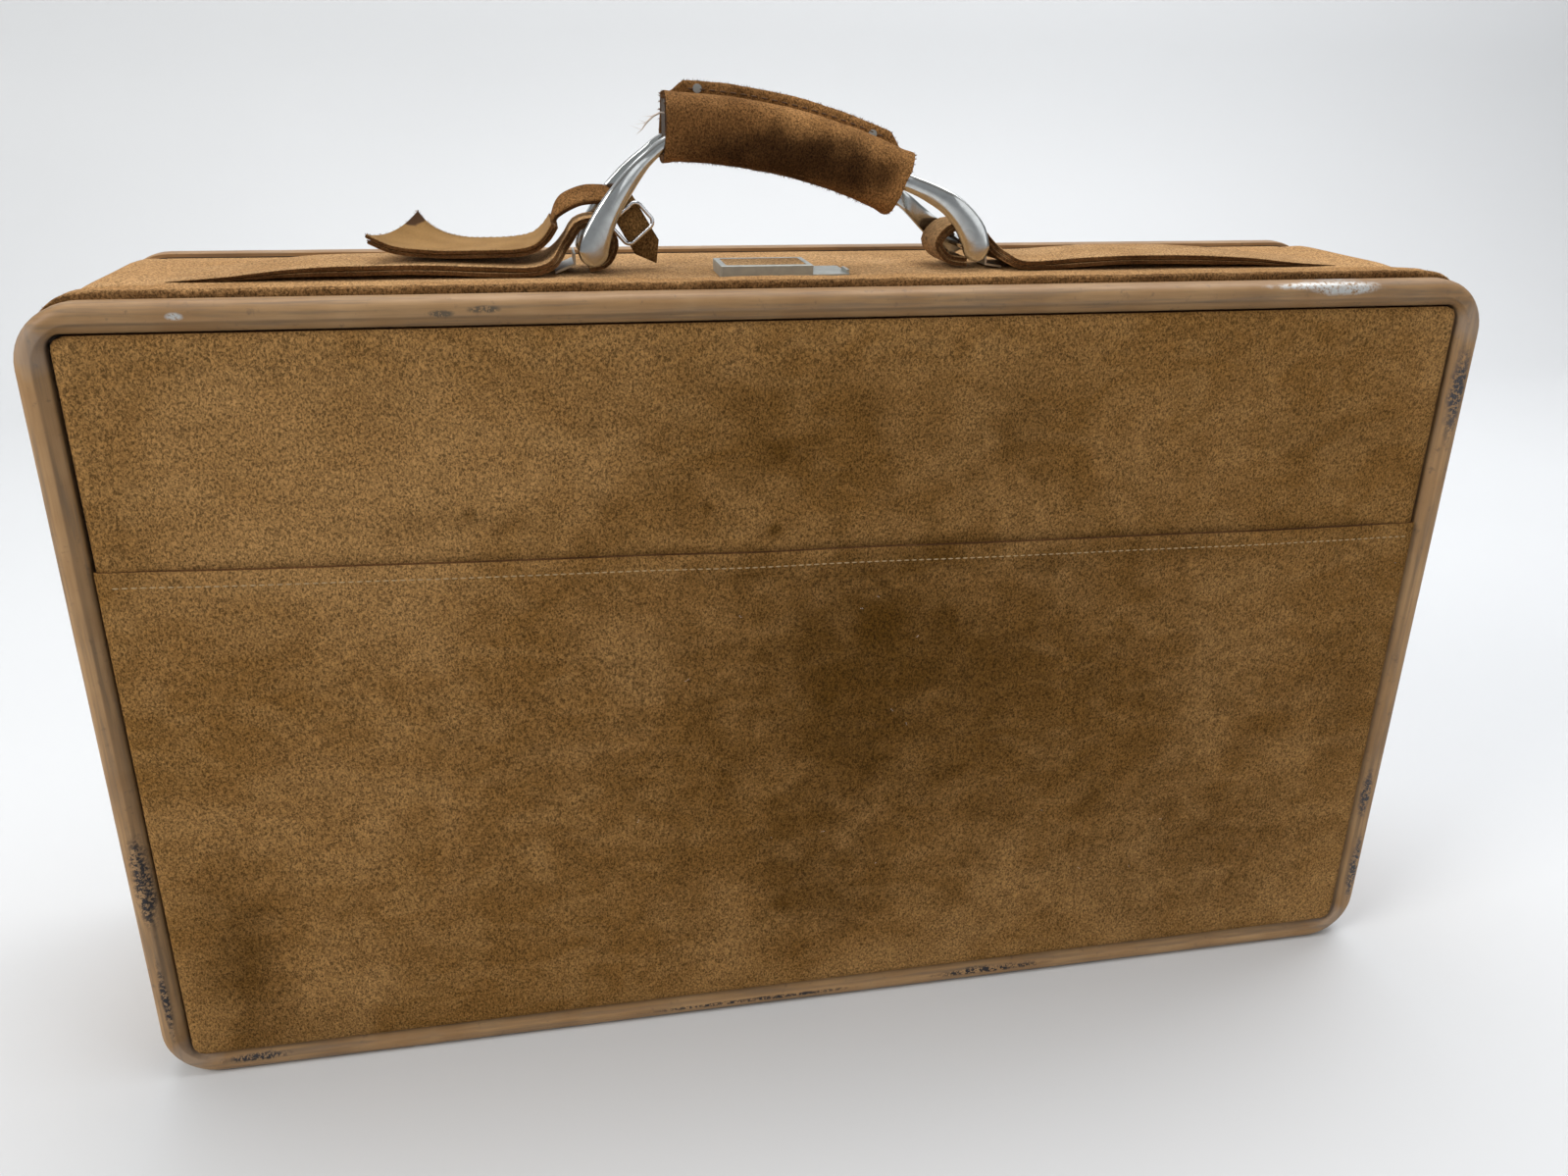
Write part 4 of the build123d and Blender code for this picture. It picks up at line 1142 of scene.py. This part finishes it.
verts, faces = [], []
places = []
for n in range(GRIP_STITCHES):
    t = 0.10 + 0.80 * n / GRIP_STITCHES
    a, b = (grip_point(along, 4.75, 15.6) for along in (t, t + 0.022))
    stitch(verts, faces, a, b, (0, -1, 0.2), width=0.36, height=0.25)
add_piece("grip_stitches", (verts, faces), [dark_thread], "handle")
for _ in range(420):  # along the underside
    t = rng.random()
    y, h = wrap_outer[rng.choice(range(21, 26))]
    places.append((grip_point(t, y, h), (0, y / 14, h / 14)))
for _ in range(360):  # round both ends
    t = rng.choice((0.0, 1.0))
    y, h = wrap_outer[rng.randrange(FLANGE_POINTS, ring)]
    places.append((grip_point(t, y, h), ((t * 2 - 1) * 0.9, y / 14, h / 20)))
for _ in range(260):  # along the flange
    t = rng.uniform(0.05, 0.95)
    y = rng.uniform(5.4, 7.8)
    places.append((grip_point(t, y, 13.4 + 5.4 * flange_height(t)), (0, 0, 1)))
add_piece("grip_fibres", fuzz(places, 2400, 1.3), [suede_fibre], "handle")


def tube(points, radius, sides=6):
    """A closed tube through points, tapering a little at both ends."""
    verts = []
    points = [Vector(p) for p in points]
    for i, p in enumerate(points):
        along = (points[min(i + 1, len(points) - 1)] - points[max(i - 1, 0)]).normalized()
        side = along.cross(Vector((0, 1, 0.01))).normalized()
        other = along.cross(side)
        size = radius * (0.5 if i in (0, len(points) - 1) else 1.0)
        verts += [tuple(p + side * size * c + other * size * s) for c, s in spokes(sides)]
    return verts, skin(len(points), sides)


thread_points = [
    (-56.0, -6, 420.5), (-59.5, -7, 420.6), (-62.5, -8, 419.2), (-65.5, -8.5, 416.6), (-67.6, -9, 413.8),
]
verts, faces = tube(thread_points, 0.42)
for n in range(7):
    start = Vector(thread_points[-1 - n % 3])
    swing = Vector((-rng.uniform(2.5, 7.5), rng.uniform(-2, 2), rng.uniform(-3.0, 2.0)))
    needle(verts, faces, start, start + swing, 0.13)
add_piece("loose_thread", (verts, faces), [pale_thread], "handle")

# ============================================================ tag
TAG_FRONT_Y, TAG_REAR_Y = -16.0, 29.0
tag_path = [(-183.5, 371.6), (-173, 366.4), (-160, 364.6), (-133, 364.3), (-117, 365.8), (-110, 370)]
tag_path = path_stations(tag_path + [(-106, 375.5)], 1.6)
tag_cross = [0.0, 0.02, 0.06, 0.15, 0.27, 0.4, 0.53, 0.66, 0.78, 0.87, 0.94, 0.98, 1.0]
tag_rows = len(tag_path)
tag_edges = []


def tag_place(i, j, side, layer):
    """The tag's two layers: dished, with a free corner that curls up at the left."""
    s = i / (tag_rows - 1)
    v = tag_cross[j]
    skew = 0.24 * v * (1 - s) ** 3 + (0.02 if layer < 0 else 0.0)
    x, z, nx, nz = between(tag_path, clamp(s + skew) * (tag_rows - 1))
    lift = 11.0 * v**1.6 * max(1 - s / 0.55, 0) ** 2 * (1.0 if layer > 0 else 0.8)
    dish = -0.9 * arch(v) * (1 - s) + 0.5 * wave(x, v * 45, 0, 22, 3.0)
    inset = 0.0 if layer > 0 else 0.8
    y = lerp(TAG_FRONT_Y + inset, TAG_REAR_Y - inset, v) + 0.5 * wave(x, layer * 4, 0, 14, 5.0)
    y += 2.5 * (1 - s) ** 3 * (v - 1) * 0.5
    thick = 1.6 * thinned(v)
    h = layer * 0.95 + dish + side * thick / 2
    return Vector((x + nx * h, y, z + nz * h + lift))


for layer, name, face in ((1, "top", tag_face), (-1, "bottom", suede_strap)):
    shells = Shells()
    kinds = (0, 2, 1) if layer > 0 else (0, 0, 1)
    shells.slab(tag_rows, len(tag_cross), lambda i, j, side: tag_place(i, j, side, layer), kinds)
    finish = [face, suede_edge_and_gap_shade, suede_strap]
    shells.piece(f"tag_{name}_leather", finish, "tag", "tag_leather", [f"tag_{name}"])
    for i in range(tag_rows):
        for j, out in ((0, -1), (12, 1)):
            tag_edges.append((tag_place(i, j, 1, layer), (0, out, 0.6)))
    for j in range(len(tag_cross)):
        tag_edges.append((tag_place(0, j, 1, layer), (-1, 0, 0.6)))

verts, faces = [], []
for i in range(6, tag_rows - 3, 2):
    a, b = tag_place(i, 11, 1, 1), tag_place(i + 1, 11, 1, 1)
    for point in (a, b):
        point.y -= 1.6
    stitch(verts, faces, a, b, (0, 0, 1), width=0.28, height=0.2)
add_piece("tag_stitches", (verts, faces), [thread], "tag")

# the strip that ties the tag to the handle's strap: a loop over, then a pointed end through the buckle
LINK_FRONT_Y, LINK_REAR_Y = -2.0, 9.5
link_path = [(-106.2, 373.3), (-105.8, 377.2), (-103.6, 381.0), (-99, 384.2), (-92, 386.4), (-84, 386.8)]
link_path = path_stations(link_path + [(-77.5, 385.8)], 1.3)
link_cross = [0.0, 0.03, 0.12, 0.3, 0.5, 0.7, 0.88, 0.97, 1.0]


def link_place(i, j, side):
    """The loop that rises from the tag and goes over to the buckle."""
    x, z, nx, nz = link_path[i]
    v = link_cross[j]
    thick = 2.0 * thinned(v)
    t = i / (len(link_path) - 1)
    tilt = smooth(0.0, 0.3, t) * (1 - smooth(0.8, 1.0, t))
    h = side * thick / 2 + 0.5 * arch(v) + 0.25 * wave(x, v * 11, z, 7, 2.0)
    y = lerp(LINK_FRONT_Y + 1.2 * tilt, LINK_REAR_Y - 1.2 * tilt, v) + 0.3 * wave(x, 1, z, 9, 1.0)
    return Vector((x + nx * h, y - side * thick * 0.25 * tilt, z + nz * h + (v - 0.5) * 6.2 * tilt))


BUCKLE_X, BUCKLE_Z, STRIP_TURN, WIRE_TURN = -71.5, 374.5, -60, -49
strip_along, strip_across = axes(STRIP_TURN)
STRIP_FROM, STRIP_SHOULDER, STRIP_TO, STRIP_HALF = -12.5, 12.0, 19.8, 6.1
STRIP_ROWS = 30


def strip_place(i, j, side):
    """The straight strip through the buckle, cut to a point below."""
    along = lerp(STRIP_FROM, STRIP_TO, i / (STRIP_ROWS - 1))
    v = 2 * link_cross[j] - 1  # from -1 to 1 across the strip
    half = STRIP_HALF * (1 - 0.96 * clamp((along - STRIP_SHOULDER) / (STRIP_TO - STRIP_SHOULDER)))
    thick = 2.0 * thinned(link_cross[j])
    bow = 0.9 * smooth(6, 19, along) * (along - 6) / 6 + 0.3 * wave(along, v * 5, 0, 7, 2.0)
    point = Vector((BUCKLE_X, 4.0, BUCKLE_Z)) + strip_along * along + strip_across * v * half
    return point + Vector((0, -1, 0)) * (side * thick / 2 - 0.4 * v * v + bow * 0.4)


shells = Shells()
shells.slab(len(link_path), len(link_cross), link_place, (0, 2, 1), 0.1)
shells.slab(STRIP_ROWS, len(link_cross), strip_place, (2, 2, 1), 0.1)
# The tie takes darker copies of the suede, the grip's colour on one face of the loop and a darker suede on
# the rest: painted shade.
suede_tie_shaded = suede("suede_tie_shaded", scaled(SUEDE, 0.7), scaled(SUEDE, 0.4), SUEDE, grain=0.8)
shells.piece("tag_tie", [suede_grip, suede_edge_and_gap_shade, suede_tie_shaded], "handle", "suede_strap", ["tag_strap"])
add_piece("tag_fibres", fuzz(tag_edges, 1500, 1.0), [suede_fibre], "tag")

# ============================================================ buckle: a bent wire frame
verts = []
BUCKLE_L, BUCKLE_W, WIRE_R, BEND_R = 14.5, 17.6, 0.9, 3.0
wire_along, wire_across = axes(WIRE_TURN)
loop = []
for cx, cz, start in ((1, 1, 0), (-1, 1, 90), (-1, -1, 180), (1, -1, 270)):
    for n in range(9):
        angle = math.radians(start + 90 * n / 8)
        loop.append((
            cx * (BUCKLE_L / 2 - WIRE_R - BEND_R) + BEND_R * math.cos(angle),
            cz * (BUCKLE_W / 2 - WIRE_R - BEND_R) + BEND_R * math.sin(angle), angle,
        ))
WIRE_SIDES = 12
for along, across, angle in loop:
    out = wire_along * math.cos(angle) + wire_across * math.sin(angle)
    centre = Vector((BUCKLE_X - 0.3, 2.1, BUCKLE_Z)) + wire_along * along + wire_across * across
    for c, s in spokes(WIRE_SIDES):
        verts.append(tuple(centre + out * WIRE_R * c + Vector((0, 1, 0)) * WIRE_R * s))
made = verts, skin(len(loop), WIRE_SIDES, closed=True)
add_piece("buckle_wire", made, [buckle_metal], "handle", ["buckle_frame"], sharp=60)

# ============================================================ zip teeth
ZIP_END_Z = 30.0
TOOTH_PITCH = 2.6
TOOTH_U = 4.8
for name, body, replaced, tape, head, shift in (
    ("zip_teeth_door", "front_door", "zip_chain_door", -62.9, -61.3, 0.0),
    ("zip_teeth_body", "case_body", "zip_chain_body", -58.3, -59.9, 0.5),
):
    track = case_stations(0.65, open_below=ZIP_END_Z, turns=60)
    reach = CORNER_R - TOOTH_U
    points = [(x + nx * reach, z + nz * reach, nx, nz) for x, z, nx, nz in track]
    levels = (tape, 1.0, 0.55), (lerp(tape, head, 0.55), 1.2, 0.62), (head, 0.8, 0.85)
    verts, faces = [], []
    travelled = TOOTH_PITCH * shift
    target = TOOTH_PITCH
    for a, b in zip(points, points[1:]):
        travelled += math.dist(a[:2], b[:2])
        if travelled < target:
            continue
        target += TOOTH_PITCH
        x, z, nx, nz = b
        along, out = Vector((nz, 0, -nx)), Vector((nx, 0, nz))
        faces += skin(len(levels), 4, len(verts))
        for y, half_out, half_along in levels:
            for so, sa in ((1, 1), (1, -1), (-1, -1), (-1, 1)):
                verts.append(tuple(Vector((x, y, z)) + out * half_out * so + along * half_along * sa))
    add_piece(name, (verts, faces), [zip_metal], body, [replaced], sharp=30)


# ============================================================ camera, light, floor
camera_data = bpy.data.cameras.new("camera")
camera = in_scene("camera", camera_data)
RIGHT, UP = (0.98081, -0.19443, 0.01437), (0.06085, 0.37539, 0.92487)
BACKWARD = (-0.18521, -0.90625, 0.38002)
CAMERA_PLACE = (-0.118, -0.571, 0.436)
turn = Matrix((RIGHT, UP, BACKWARD)).transposed()
camera.matrix_world = Matrix.Translation(CAMERA_PLACE) @ turn.to_4x4()
camera_data.sensor_width = 36.0
camera_data.lens = 28.65
camera_data.clip_start = 0.01
bpy.context.scene.camera = camera


def stage_material(name, tone):
    """Even, pale and a little glossy, for the floor and the wall."""
    paint = Paint(name)
    cloud = paint.noise(400.0, 2.0)
    fine = paint.noise(2.0, 2.0)
    color = paint.mix(paint.span(cloud, 0.3, 0.7), tone, scaled(tone, 0.985))
    paint.bump(fine, 0.04, 0.1)
    return paint.finish(color, 0.5, Specular_IOR_Level=0.35)


def backdrop():
    """A floor, in metres, that curves up into a wall behind the case, and far walls on its other sides."""
    near_y, bend_y, bend_r, wall_top, far_top = -9.0, 1.2, 0.5, 2.6, 6.0
    profile = [(near_y, 5.0), (near_y, 0.0), (bend_y, 0.0)]
    for i in range(1, 13):
        angle = math.radians(90 * i / 12)
        profile.append((bend_y + bend_r * math.sin(angle), bend_r * (1 - math.cos(angle))))
    profile.append((bend_y + bend_r, wall_top))
    columns = (-14.0, -4.0, 4.0, 14.0)
    raise_ends = far_top - wall_top
    verts = [(x, y, z + raise_ends * (abs(x) > 5 and z > 2 and y > 0)) for y, z in profile for x in columns]
    faces = []
    for i in range(len(profile) - 1):
        for j in range(3):
            faces.append((4 * i + j, 4 * i + j + 1, 4 * i + j + 5, 4 * i + j + 4))
    for x in (columns[0], columns[-1]):
        start = len(verts)
        wall_y = bend_y + bend_r
        verts += [(x, near_y, 0.0), (x, wall_y, 0.0), (x, wall_y, far_top), (x, near_y, far_top)]
        faces.append(tuple(range(start, start + 4)))
    mesh = bpy.data.meshes.new("floor")
    mesh.from_pydata(verts, [], faces)
    mesh.shade_smooth()
    mesh.materials.append(stage_material("floor", (0.64, 0.65, 0.655)))
    in_scene("floor", mesh)


backdrop()


def area_light(name, place, target, size, power, color):
    data = bpy.data.lights.new(name, "AREA")
    data.shape = "RECTANGLE"
    data.size, data.size_y = size
    data.energy = power
    data.color = color
    light = in_scene(name, data)
    light.location = place
    light.rotation_mode = "QUATERNION"
    light.rotation_quaternion = (Vector(target) - Vector(place)).to_track_quat("-Z", "Y")


for lamp in (
    # name, place, target, size, power, colour
    ("window", (-1.9, -0.95, 1.5), (-0.05, 0, 0.2), (1.0, 1.0), 33.0, (1.0, 0.98, 0.95)),
    ("sky", (0.2, 0.35, 2.3), (0, 0.1, 0.2), (2.4, 1.6), 41.0, (0.97, 0.98, 1.0)),
    ("fill", (1.8, -1.6, 1.0), (0, 0, 0.15), (1.6, 1.4), 7.0, (0.95, 0.97, 1.0)),
    ("wall", (1.3, 0.6, 1.9), (0.9, 1.7, 0.5), (1.4, 1.0), 17.0, (0.98, 0.98, 1.0)),
):
    area_light(*lamp)
# a world that is darker towards the camera's side and paler behind the case
heavens = Paint("world", bpy.data.worlds, "Background", "Generated")
ahead = heavens.parts(heavens.where)[1]
shade = heavens.span(ahead, -0.75, 0.35)
heavens.put(heavens.shader.inputs["Color"], heavens.mix(shade, (0.30, 0.29, 0.28), (0.92, 0.94, 0.98)))
heavens.put(heavens.shader.inputs["Strength"], 0.8)
bpy.context.scene.world = heavens.material
bpy.context.scene.view_settings.view_transform = "Standard"
